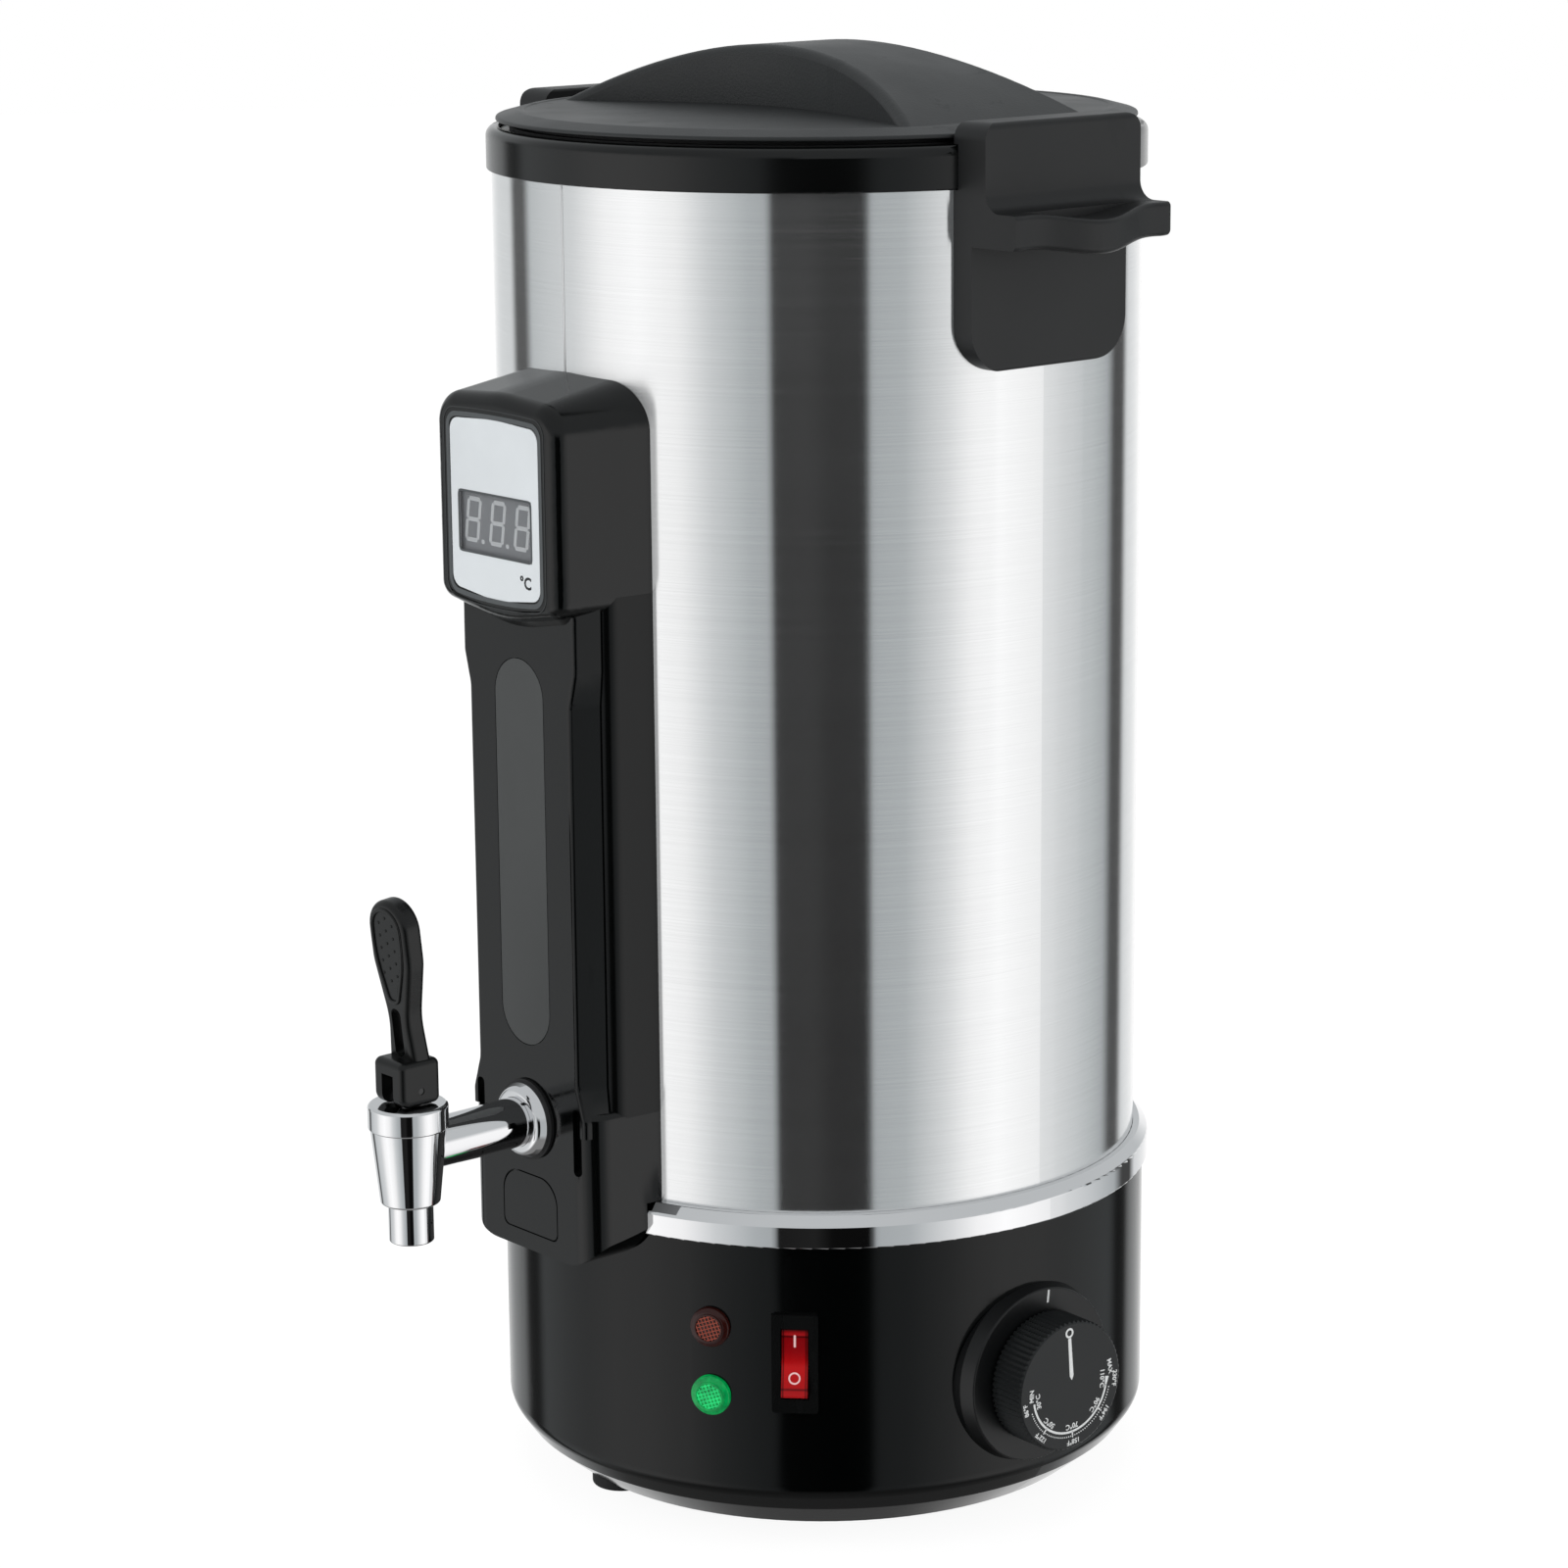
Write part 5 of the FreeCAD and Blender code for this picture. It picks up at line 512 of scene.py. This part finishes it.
def soften(piece, width, segments=2):
    take(piece)
    edge = piece.modifiers.new("soft_edge", "BEVEL")
    edge.width = width
    edge.segments = segments
    edge.limit_method = "ANGLE"
    edge.angle_limit = SHARP
    bpy.ops.object.modifier_apply(modifier=edge.name)


def smooth(piece):
    take(piece)
    bpy.ops.object.shade_smooth_by_angle(angle=SHARP)


def hang(piece, azimuth, reach, height, tip=0.0):
    """Moves a face-on piece to its wall; tip leans its face up, in degrees, or down below 0."""
    out = outward(azimuth)
    across = Vector((-out.y, out.x, 0.0))
    turn = Matrix((across, Vector((0.0, 0.0, 1.0)), out)).transposed().to_4x4()
    lean = Matrix.Rotation(math.radians(-tip), 4, "X")
    piece.matrix_world = Matrix.Translation(out * reach + Vector((0.0, 0.0, height))) @ turn @ lean
    settle(piece)


def joined(name, pieces):
    fresh()
    for piece in pieces:
        piece.select_set(True)
    bpy.context.view_layer.objects.active = pieces[0]
    bpy.ops.object.join()
    whole = bpy.context.object
    whole.name = name
    whole.data.name = name
    return whole


def dress(piece, material, body):
    """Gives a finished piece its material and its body."""
    piece.data.materials.clear()
    piece.data.materials.append(material)
    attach(piece, body)


def clock_of(spot):
    """Clock angle of a face-on point: 0 is up, clockwise."""
    return math.degrees(math.atan2(spot.x, spot.y)) % 360.0


def on_clock(angle, radius):
    turn = math.radians(angle)
    return Vector((radius * math.sin(turn), radius * math.cos(turn), 0.0))


def flat_ring(outer, inner, steps, keep=None):
    """A flat ring, or the part of it whose clock angles pass the keep test."""
    fresh()
    bpy.ops.mesh.primitive_circle_add(vertices=steps, radius=outer)
    piece = bpy.context.object
    shape(piece)
    bpy.ops.mesh.select_all(action="SELECT")
    bpy.ops.mesh.extrude_region()
    bpy.ops.transform.resize(value=(inner / outer, inner / outer, 1.0))
    if keep:
        choose(piece, "faces", lambda spot: not keep(clock_of(spot)))
        bpy.ops.mesh.delete(type="FACE")
    fresh()
    return piece


def flat_bar(start, end, width, tip_width=None):
    """A flat strip from start to end that may narrow to its tip."""
    start, end = Vector(start).to_3d(), Vector(end).to_3d()
    run = end - start
    fresh()
    bpy.ops.mesh.primitive_plane_add(size=1.0)
    piece = bpy.context.object
    shape(piece)
    bpy.ops.mesh.select_all(action="SELECT")
    bpy.ops.transform.resize(value=(run.length, width, 1.0))
    if tip_width is not None:
        choose(piece, "verts", lambda spot: spot.x > 0)
        bpy.ops.transform.resize(value=(1.0, tip_width / width, 1.0))
    fresh()
    piece.location = (start + end) / 2
    piece.rotation_euler.z = math.atan2(run.y, run.x)
    settle(piece)
    return piece


def drag(piece, index, target):
    """Moves one corner of a flat piece to its place."""
    bpy.ops.mesh.select_mode(type="VERT")
    bpy.ops.mesh.select_all(action="DESELECT")
    mesh = bmesh.from_edit_mesh(piece.data)
    mesh.verts.ensure_lookup_table()
    corner = mesh.verts[index]
    corner.select_set(True)
    way = Vector(target).to_3d() - corner.co
    bmesh.update_edit_mesh(piece.data)
    bpy.ops.transform.translate(value=way)


def rounded_plate(corners, segments=8):
    """A flat plate from (x, y, rounding) corners, counted anticlockwise."""
    fresh()
    bpy.ops.mesh.primitive_circle_add(vertices=len(corners), radius=0.01, fill_type="NGON")
    piece = bpy.context.object
    shape(piece)
    order = sorted(range(len(corners)), key=lambda i: -clock_of(piece.data.vertices[i].co))
    for index, (x, y, _) in zip(order, corners):
        drag(piece, index, (x, y))
    for x, y, rounding in corners:
        if rounding:
            choose(piece, "verts", lambda spot: (spot - Vector((x, y, 0.0))).length < 1e-6)
            bpy.ops.mesh.bevel(offset=rounding, offset_type="OFFSET", segments=segments,
                               affect="VERTICES")
    fresh()
    return piece


def box_corners(half_w, half_h, corner):
    """Corners of a rounded rectangle about the middle, for rounded_plate."""
    return [(half_w, -half_h, corner), (half_w, half_h, corner),
            (-half_w, half_h, corner), (-half_w, -half_h, corner)]


def opened(piece, border):
    """Insets a flat plate and takes its middle out, which leaves a border."""
    shape(piece)
    bpy.ops.mesh.select_mode(type="FACE")
    bpy.ops.mesh.select_all(action="SELECT")
    bpy.ops.mesh.inset(thickness=border, depth=0.0)
    bpy.ops.mesh.delete(type="FACE")
    fresh()
    return piece


def lettering(words, cap_height, place, turn=0.0):
    """Flat letters as a mesh, centred on a place and turned clockwise by an angle."""
    cap_share, growth = 0.7, 0.045      # cap height of the typeface, extra weight of its strokes
    fresh()
    bpy.ops.object.text_add()
    letters = bpy.context.object
    letters.data.body = words
    letters.data.size = cap_height / cap_share
    letters.data.align_x = "CENTER"
    letters.data.align_y = "CENTER"
    letters.data.resolution_u = 3
    letters.data.offset = cap_height * growth
    bpy.ops.object.convert(target="MESH")
    letters = bpy.context.object
    letters.location = Vector(place).to_3d()
    letters.rotation_euler.z = -math.radians(turn)
    settle(letters)
    return letters


# ------------------------------------------------------------------ shell


def weld_seam():
    """The shell's upright weld: a low rounded bead in front, above the display head."""
    low, high = HEAD_TOP, RING_LOW - 0.0003
    radius, flattening, edge = 0.42 * MM, 0.45, 0.05 * MM
    fresh()
    bpy.ops.mesh.primitive_cylinder_add(vertices=16, radius=radius, depth=high - low,
                                        rotation=(math.pi / 2, 0.0, 0.0))
    bead = bpy.context.object
    settle(bead)
    shape(bead)
    bpy.ops.mesh.select_all(action="SELECT")
    bpy.ops.transform.resize(value=(1.0, 1.0, flattening))
    bpy.ops.mesh.subdivide(number_cuts=1)
    fresh()
    soften(bead, edge)
    hang(bead, 0.0, SHELL_R, (low + high) / 2)
    bead.name = "weld_seam"
    smooth(bead)
    dress(bead, weld_steel, "urn")


# ------------------------------------------------------------------ display head


def label_corners(half, low, high, corner, bulge, arch):
    """Outline of the label and of what runs round it, with bowed upper and lower ends."""
    round_end = half * 0.7
    return [(half, low, corner), (half, high, corner), (0.0, high + arch, round_end),
            (-half, high, corner), (-half, low, corner), (0.0, low - bulge, round_end)]


LABEL_MIDDLE = -93.0            # middle of the label, from the ring's underside, in mm


def label_frame(name, outline, border, wall, material, edge=0.0):
    """A flat frame round the label; heights are counted from the ring's underside, in mm."""
    half, low, high, corner, bulge, arch = (length * MM for length in outline)
    middle_z = LABEL_MIDDLE * MM
    piece = opened(rounded_plate(label_corners(half, low - middle_z, high - middle_z,
                                               corner, bulge, arch)), border * MM)
    thicken(piece, wall * MM)
    if edge:
        soften(piece, edge * MM)
    hang(piece, 0.0, HEAD_REACH, RING_LOW + middle_z)
    piece.name = name
    dress(piece, material, "urn")


def window_rim():
    """Dark rounded frame round the display window."""
    half_w, half_h, corner, border = 17.7 * MM, 9.4 * MM, 1.6 * MM, 0.7 * MM
    rim = opened(rounded_plate(box_corners(half_w, half_h, corner), 5), border)
    thicken(rim, 0.24 * MM)
    soften(rim, 0.05 * MM)
    hang(rim, 0.0, HEAD_REACH, RING_LOW - 98.2 * MM)
    rim.name = "window_rim"
    dress(rim, border_grey, "urn")


def led_segment(length, thickness):
    """One bar of a digit, lying along x, pointed at both ends."""
    fresh()
    bpy.ops.mesh.primitive_circle_add(vertices=6, radius=thickness / 2, fill_type="NGON",
                                      rotation=(0.0, 0.0, math.pi / 2))
    bar = bpy.context.object
    settle(bar)
    shape(bar)
    reach = (length - thickness) / 2
    for side in (-1, 1):
        choose(bar, "verts", lambda spot: spot.x * side > 0.1 * thickness)
        bpy.ops.transform.translate(value=(side * reach, 0.0, 0.0))
    fresh()
    return bar


def led_bar(length, thickness, x, y, turn=0.0):
    """A bar of a digit at its place, turned anticlockwise by an angle in radians."""
    bar = led_segment(length, thickness)
    bar.location = (x, y, 0.0)
    bar.rotation_euler.z = turn
    settle(bar)
    return bar


def led_digits():
    """Three slanted figures of seven bars and two points on the display module's face."""
    tall, wide, stroke, slant = 12.4 * MM, 5.7 * MM, 1.5 * MM, math.radians(8.4)
    gap = 0.25 * MM
    point_half_w, point_low, point_high, point_corner = 0.7 * MM, -6.9 * MM, -5.6 * MM, 0.3 * MM
    lean = math.tan(slant)
    bars = []
    for centre in (-12.1 * MM, -0.3 * MM, 11.5 * MM):
        for level in (-1, 0, 1):
            y = level * tall / 2
            bars.append(led_bar(wide - gap, stroke, centre + y * lean, y))
        for side in (-1, 1):
            for half in (-1, 1):
                y = half * tall / 4
                bars.append(led_bar(tall / 2 - gap, stroke, centre + side * wide / 2 + y * lean,
                                    y, math.pi / 2 - slant))
    for x in (-7.6 * MM, 4.2 * MM):
        right, left = x + point_half_w, x - point_half_w
        bars.append(rounded_plate([(right, point_low, point_corner),
                                   (right, point_high, point_corner),
                                   (left, point_high, point_corner),
                                   (left, point_low, point_corner)], 3))
    digits = joined("led_digits", bars)
    thicken(digits, 0.12 * MM)
    hang(digits, 0.0, MODULE_REACH, RING_LOW - 97.7 * MM)
    dress(digits, segment_grey, "urn")


def degree_mark():
    """The unit printed under the display."""
    mark = lettering("\u00b0C", 3.5 * MM, (14.2 * MM, 0.0))
    thicken(mark, 0.06 * MM)
    hang(mark, 0.0, HEAD_REACH, RING_LOW - 113.6 * MM)
    mark.name = "degree_mark"
    dress(mark, ink_black, "urn")


# ------------------------------------------------------------------ knob and its bezel

DIAL_TEMPERATURES = (           # Celsius and Fahrenheit marks with their clock angles
    ("30\u00b0C", 261.6, "86\u00b0F", 258.4),
    ("50\u00b0C", 220.7, "122\u00b0F", 220.6),
    ("70\u00b0C", 176.8, "158\u00b0F", 175.6),
    ("90\u00b0C", 130.0, "194\u00b0F", 130.4),
    ("110\u00b0C", 92.2, "230\u00b0F", 95.2),
)
LONG_MARKS = (220.2, 176.4, 130.7)      # clock angles of the marks at 50, 70 and 90 degrees


def dial_pointer():
    """A small ring near the knob's edge and a bar from it that widens towards the middle."""
    neck, shoulder, tip = (-0.42 * MM, 15.6 * MM), (0.5 * MM, 3.3 * MM), (0.6 * MM, 2.0 * MM)
    thin, thick, point = 1.2 * MM, 1.5 * MM, 0.2 * MM
    ring = flat_ring(1.6 * MM, 0.95 * MM, 32)
    ring.location = (-0.5 * MM, 17.3 * MM, 0.0)
    settle(ring)
    return [ring, flat_bar(neck, shoulder, thin, thick), flat_bar(shoulder, tip, thick, point)]


def dial_scale():
    """The arc with its tapered start, three long marks and a row of dots outside it."""
    arc_outer, arc_inner, arc_start, arc_end = 15.2 * MM, 14.5 * MM, 100.0, 260.6
    mark_inner, mark_outer = 14.8 * MM, 16.9 * MM
    dots, first_dot, dot_step, dot_half, dot_radius = 50, 104.0, 3.0, 0.65, 16.3 * MM
    parts = [flat_ring(arc_outer, arc_inner, 240, lambda angle: arc_start < angle < arc_end),
             flat_bar(on_clock(103.5, 14.85 * MM), on_clock(91.0, 15.1 * MM), 0.5 * MM, 1.5 * MM)]
    for angle in LONG_MARKS:
        parts.append(flat_bar(on_clock(angle, mark_inner), on_clock(angle, mark_outer),
                              0.6 * MM, 0.35 * MM))
    for step in range(dots):
        angle = first_dot + step * dot_step
        parts.append(flat_bar(on_clock(angle - dot_half, dot_radius),
                              on_clock(angle + dot_half, dot_radius), 0.4 * MM))
    return parts


def dial_numbers():
    """Temperatures inside and outside the arc, and the words at its ends."""
    celsius_tall, celsius_radius = 1.65 * MM, 13.0 * MM
    fahrenheit_tall, fahrenheit_radius = 1.55 * MM, 18.2 * MM
    words_tall = 1.6 * MM
    parts = []
    for celsius, first, fahrenheit, second in DIAL_TEMPERATURES:
        parts.append(lettering(celsius, celsius_tall, on_clock(first, celsius_radius), first))
        parts.append(lettering(fahrenheit, fahrenheit_tall, on_clock(second, fahrenheit_radius),
                               second))
    parts.append(lettering("MIN", words_tall, on_clock(271.5, 15.6 * MM), 271.5))
    parts.append(lettering("MAX", words_tall, on_clock(80.5, 16.4 * MM), 80.5))
    return parts


def dial_print():
    """White scale and pointer on the knob's face."""
    scale = joined("dial_print", dial_pointer() + dial_scale() + dial_numbers())
    thicken(scale, 0.08 * MM)
    hang(scale, *KNOB_PLACE)
    dress(scale, print_white, "knob")


def index_line():
    """White line on the bezel that the knob is read against."""
    clock, inner, outer, width = 6.3, 22.9 * MM, 26.9 * MM, 0.75 * MM
    line = flat_bar(on_clock(clock, inner), on_clock(clock, outer), width)
    thicken(line, 0.1 * MM)
    hang(line, KNOB_PLACE[0], BEZEL_REACH + 0.05 * MM, KNOB_PLACE[2])
    line.name = "index_line"
    dress(line, print_white, "urn")


# ------------------------------------------------------------------ switch and lamps


def rocker_marks():
    """On and off marks on the rocker's two faces, which lean as the rocker is stored."""
    crease_reach, crease_height = 2.152, 0.457      # where the two faces meet, in mm
    on_height, on_slope, on_lean = 7.2, 0.0783, 4.5
    off_depth, off_slope, off_lean = 3.96, 0.3546, 19.5
    ink = 0.08 * MM
    on_mark = rounded_plate(box_corners(0.34 * MM, 1.9 * MM, 0.2 * MM), 3)
    thicken(on_mark, ink)
    upper = crease_reach - (on_height - crease_height) * on_slope
    hang(on_mark, SWITCH_AZ, ROCKER_PIVOT + upper * MM, SWITCH_H + on_height * MM, on_lean)
    off_mark = flat_ring(1.85 * MM, 1.35 * MM, 40)
    thicken(off_mark, ink)
    lower = crease_reach + (off_depth + crease_height) * off_slope
    hang(off_mark, SWITCH_AZ, ROCKER_PIVOT + lower * MM, SWITCH_H - off_depth * MM, off_lean)
    marks = joined("rocker_marks", [on_mark, off_mark])
    dress(marks, print_pink, "rocker")


def lamp_lens(colour, body_material, ridge_highlight_material):
    """Middle of a lamp's lens: cross-hatched ridges inside a raised ring; the ridges take a
    lighter, brighter-glowing copy of the lens plastic as painted highlight.
    """
    field, pitch, bar_width, turn = 3.95 * MM, 1.15 * MM, 0.3 * MM, math.radians(20)
    ridge_reach, collar_reach = LAMP_SEAT + 2.5 * MM, LAMP_SEAT + 2.45 * MM
    bars = []
    for line in range(-3, 4):
        side = line * pitch
        half = math.sqrt(field ** 2 - side ** 2)
        bars.append(flat_bar((-half, side), (half, side), bar_width))
        upright = flat_bar((side, -half), (side, half), bar_width)
        upright.location.z = 0.04 * MM
        settle(upright)
        bars.append(upright)
    ridges = joined(colour + "_lens_ridges", bars)
    thicken(ridges, 0.16 * MM)
    ridges.rotation_euler.z = turn
    settle(ridges)
    hang(ridges, LAMP_AZ, ridge_reach, LAMP_HEIGHTS[colour])
    dress(ridges, ridge_highlight_material, "urn")
    collar = flat_ring(4.6 * MM, 4.0 * MM, 48)
    thicken(collar, 0.5 * MM)
    soften(collar, 0.12 * MM)
    smooth(collar)
    collar.name = colour + "_lens_collar"
    hang(collar, LAMP_AZ, collar_reach, LAMP_HEIGHTS[colour])
    dress(collar, body_material, "urn")


# ------------------------------------------------------------------ tap lever

PAD_HALF = (                    # right half of the thumb pad's rim from its foot up, in mm
    (2.6, 17.0, 2.0), (7.3, 31.0, 5.0), (7.3, 47.0, 7.0))


def grip_dot(x, y):
    """A low round dot: the outer half of a small flattened ball."""
    fresh()
    bpy.ops.mesh.primitive_uv_sphere_add(segments=10, ring_count=6, radius=0.5 * MM,
                                         location=(x, y, 0.0))
    dot = bpy.context.object
    settle(dot)
    shape(dot)
    choose(dot, "faces", lambda spot: spot.z < -0.05 * MM)
    bpy.ops.mesh.delete(type="FACE")
    bpy.ops.mesh.select_all(action="SELECT")
    bpy.ops.transform.resize(value=(1.0, 1.0, 0.6), center_override=(x, y, 0.0))
    fresh()
    return dot


def paddle_grip():
    """Raised rim round the thumb pad of the lever, with rows of small grip dots inside it."""
    column_pitch, first_row, row_pitch, stagger = 3.2, 22.5, 3.9, 1.9
    narrow_end = 25 * MM        # below this height only the middle column has room
    right = [(x * MM, y * MM, corner * MM) for x, y, corner in PAD_HALF]
    left = [(-x, y, corner) for x, y, corner in reversed(right)]
    rim = opened(rounded_plate(right + left), 1.3 * MM)
    thicken(rim, 1.1 * MM)
    soften(rim, 0.4 * MM, 3)
    dots = []
    for row in range(6):
        for column in (-1, 0, 1):
            x = column * column_pitch * MM
            y = (first_row + row * row_pitch + (stagger if column == 0 else 0.0)) * MM
            if column == 0 or y >= narrow_end:
                dots.append(grip_dot(x, y))
    grip = joined("paddle_grip", [rim] + dots)
    grip.location.z = 2.0 * MM
    settle(grip)
    hang(grip, 0.0, TAP_REACH, LEVER_FOOT, -LEVER_LEAN)
    smooth(grip)
    dress(grip, lever_black, "lever")


# ------------------------------------------------------------------ screws at the back


def cross_recess(azimuth, reach, height, size):
    """Cross slot of a screw head: four tapered arms drawn flat on the head's face, which take a
    dark colour as the recess's painted shade.
    """
    root, tip = size * 0.46, size * 0.3
    arms = [flat_bar((0.0, 0.0), on_clock(angle, size), root, tip)
            for angle in (12, 102, 192, 282)]
    slot = joined("cross_recess", arms)
    thicken(slot, 0.06 * MM)
    hang(slot, azimuth, reach, height)
    return slot


def inlet_screw_slots():
    """Cross slots of the two screws that hold the inlet, one at each end of their box, in dark
    steel as painted shade of the recesses.
    """
    low, high = (Vector(corner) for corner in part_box("inlet_screws"))
    head = (high.z - low.z) / 2
    slots = []
    for x in (low.x + head, high.x - head):
        slot = cross_recess(180.0, high.y, (low.z + high.z) / 2, head * 0.62)
        slot.location.x = x
        settle(slot)
        slots.append(slot)
    slots = joined("inlet_screw_slots", slots)
    dress(slots, painted_shade_dark, "urn")


weld_seam()
label_frame("label_border", (22.75, -120.0, -66.1, 4.4, 2.7, 1.3), 1.45, 0.24, border_grey)
label_frame("label_lip", (24.1, -121.4, -64.7, 4.9, 2.8, 1.4), 0.4, 0.3, label_lip_grey, 0.08)
window_rim()
led_digits()
degree_mark()
dial_print()
index_line()
rocker_marks()
lamp_lens("red", lamp_red, lamp_red_ridge_highlight)
lamp_lens("green", lamp_green, lamp_green_ridge_highlight)
paddle_grip()
inlet_screw_slots()

# ------------------------------------------------------------------ studio

ROOM = (                        # brightness of the room by the angle from the camera, from above
    (-180, 1.05), (-153, 0.72), (-139, 0.7), (-134, 0.09), (-126, 0.09), (-121, 0.55),
    (-112, 0.62), (-95, 0.72), (-80, 1.02), (-66, 1.12), (-50, 0.98), (-38, 0.68), (-24, 0.47),
    (-17.5, 0.43), (-15.5, 0.012), (-3, 0.016), (3, 0.004), (16.5, 0.004), (18.5, 0.44),
    (30, 0.48), (45, 0.76), (55, 1.0), (66, 1.12), (80, 1.02), (95, 0.74), (108, 0.62),
    (124, 0.44), (130, 0.06), (138, 0.06), (143, 0.72), (165, 1.0), (180, 1.05))
CEILING = (0.53, 0.55, 0.56)
FLOOR_SEEN = (0.22, 0.22, 0.22)
FILL_LIGHT = (0.62, 0.62, 0.62)
WHITE = (1.0, 1.0, 1.0)
COOLEST_LEVEL = 0.45


def cool(level):
    """A grey of the room: its middle tones lean a little to blue."""
    lean = max(0.0, 1.0 - abs(level - COOLEST_LEVEL) / COOLEST_LEVEL)
    return (level * (1.0 - 0.07 * lean), level * (1.0 - 0.01 * lean), level * (1.0 + 0.015 * lean))


def studio_world():
    """White room with grey flats at the sides, a dark gap at the camera and two dark uprights."""
    world = bpy.data.worlds.new("studio")
    bpy.context.scene.world = world
    world.use_nodes = True
    tree = world.node_tree
    tree.nodes.clear()
    way = add_node(tree, "ShaderNodeTexCoord").outputs["Generated"]
    turn = math_node(tree, "ARCTAN2", part_towards(tree, way, CAMERA_AZ + 90),
                     part_towards(tree, way, CAMERA_AZ))
    share = math_node(tree, "ADD", math_node(tree, "DIVIDE", turn, 2 * math.pi), 0.5)
    room = ramp(tree, share, [(angle / 360.0 + 0.5, cool(level)) for angle, level in ROOM])
    rise = upright_part(tree, way)
    above = math_node(tree, "MULTIPLY", math_node(tree, "SUBTRACT", rise, 0.02), 5.0, clamp=True)
    below = math_node(tree, "MULTIPLY", math_node(tree, "SUBTRACT", -0.62, rise), 6.0, clamp=True)
    room = mix_colour(tree, above, room, CEILING)
    room = mix_colour(tree, below, room, FLOOR_SEEN)
    light = add_node(tree, "ShaderNodeLightPath")
    seen = mix_colour(tree, light.outputs["Is Glossy Ray"], FILL_LIGHT, room)
    seen = mix_colour(tree, light.outputs["Is Camera Ray"], seen, WHITE)
    seen = mix_colour(tree, light.outputs["Is Transmission Ray"], seen, WHITE)
    back = add_node(tree, "ShaderNodeBackground")
    tree.links.new(seen, back.inputs["Color"])
    out = add_node(tree, "ShaderNodeOutputWorld")
    tree.links.new(back.outputs[0], out.inputs[0])


def softbox(name, azimuth, reach, height, size, power):
    """An area lamp aimed at the middle of the urn, unseen in reflections."""
    spot = outward(azimuth) * reach + Vector((0, 0, height))
    aim = Vector((0, 0, 0.22))
    fresh()
    bpy.ops.object.light_add(type="AREA", location=spot)
    lamp = bpy.context.object
    lamp.name = name
    lamp.data.shape = "RECTANGLE"
    lamp.data.size, lamp.data.size_y = size
    lamp.data.energy = power
    lamp.rotation_euler = (aim - spot).to_track_quat("-Z", "Y").to_euler()
    lamp.visible_glossy = False


def pale_floor():
    """A wide white floor that keeps the urn's soft shadow."""
    glow_strength, glow_share = 1.09, 0.85
    fresh()
    bpy.ops.mesh.primitive_circle_add(vertices=96, radius=6.0, fill_type="NGON")
    floor = bpy.context.object
    floor.name = "floor"
    made, tree, shader = new_material("floor_white")
    shader.inputs["Base Color"].default_value = (0.9, 0.9, 0.9, 1.0)
    shader.inputs["Roughness"].default_value = 0.9
    glow = add_node(tree, "ShaderNodeEmission")
    glow.inputs["Color"].default_value = WHITE + (1.0,)
    glow.inputs["Strength"].default_value = glow_strength
    light = add_node(tree, "ShaderNodeLightPath")
    share = math_node(tree, "MULTIPLY", light.outputs["Is Camera Ray"], glow_share)
    blend = add_node(tree, "ShaderNodeMixShader")
    tree.links.new(share, blend.inputs[0])
    tree.links.new(shader.outputs[0], blend.inputs[1])
    tree.links.new(glow.outputs[0], blend.inputs[2])
    tree.links.new(blend.outputs[0], tree.nodes["Material Output"].inputs["Surface"])
    floor.data.materials.append(made)
    floor.visible_glossy = False


def front_camera():
    """The camera at the urn's right front, a little above it."""
    distance = 1.33683
    height = RING_LOW + 0.11529
    tilt_down, roll, swing = 0.22901, -0.00864, 0.00879
    fresh()
    bpy.ops.object.camera_add(location=outward(CAMERA_AZ) * distance + Vector((0, 0, height)))
    camera = bpy.context.object
    turn = Matrix.Rotation(math.radians(CAMERA_AZ) + swing, 4, "Z")
    lean = Matrix.Rotation(math.pi / 2 - tilt_down, 4, "X")
    camera.matrix_world = (Matrix.Translation(camera.location) @ turn @ lean
                           @ Matrix.Rotation(roll, 4, "Z"))
    camera.data.sensor_width = 36.0
    camera.data.lens = 99.006
    camera.data.clip_start = 0.05
    camera.data.clip_end = 30.0
    bpy.context.scene.camera = camera


studio_world()
softbox("key_box", CAMERA_AZ - 65, 1.5, 0.9, (0.9, 1.4), 9.0)
softbox("side_box", CAMERA_AZ + 65, 1.5, 0.9, (0.9, 1.4), 7.0)
softbox("top_box", CAMERA_AZ + 180, 0.5, 1.6, (1.2, 1.2), 7.0)
pale_floor()
front_camera()
bpy.context.scene.view_settings.view_transform = "Standard"
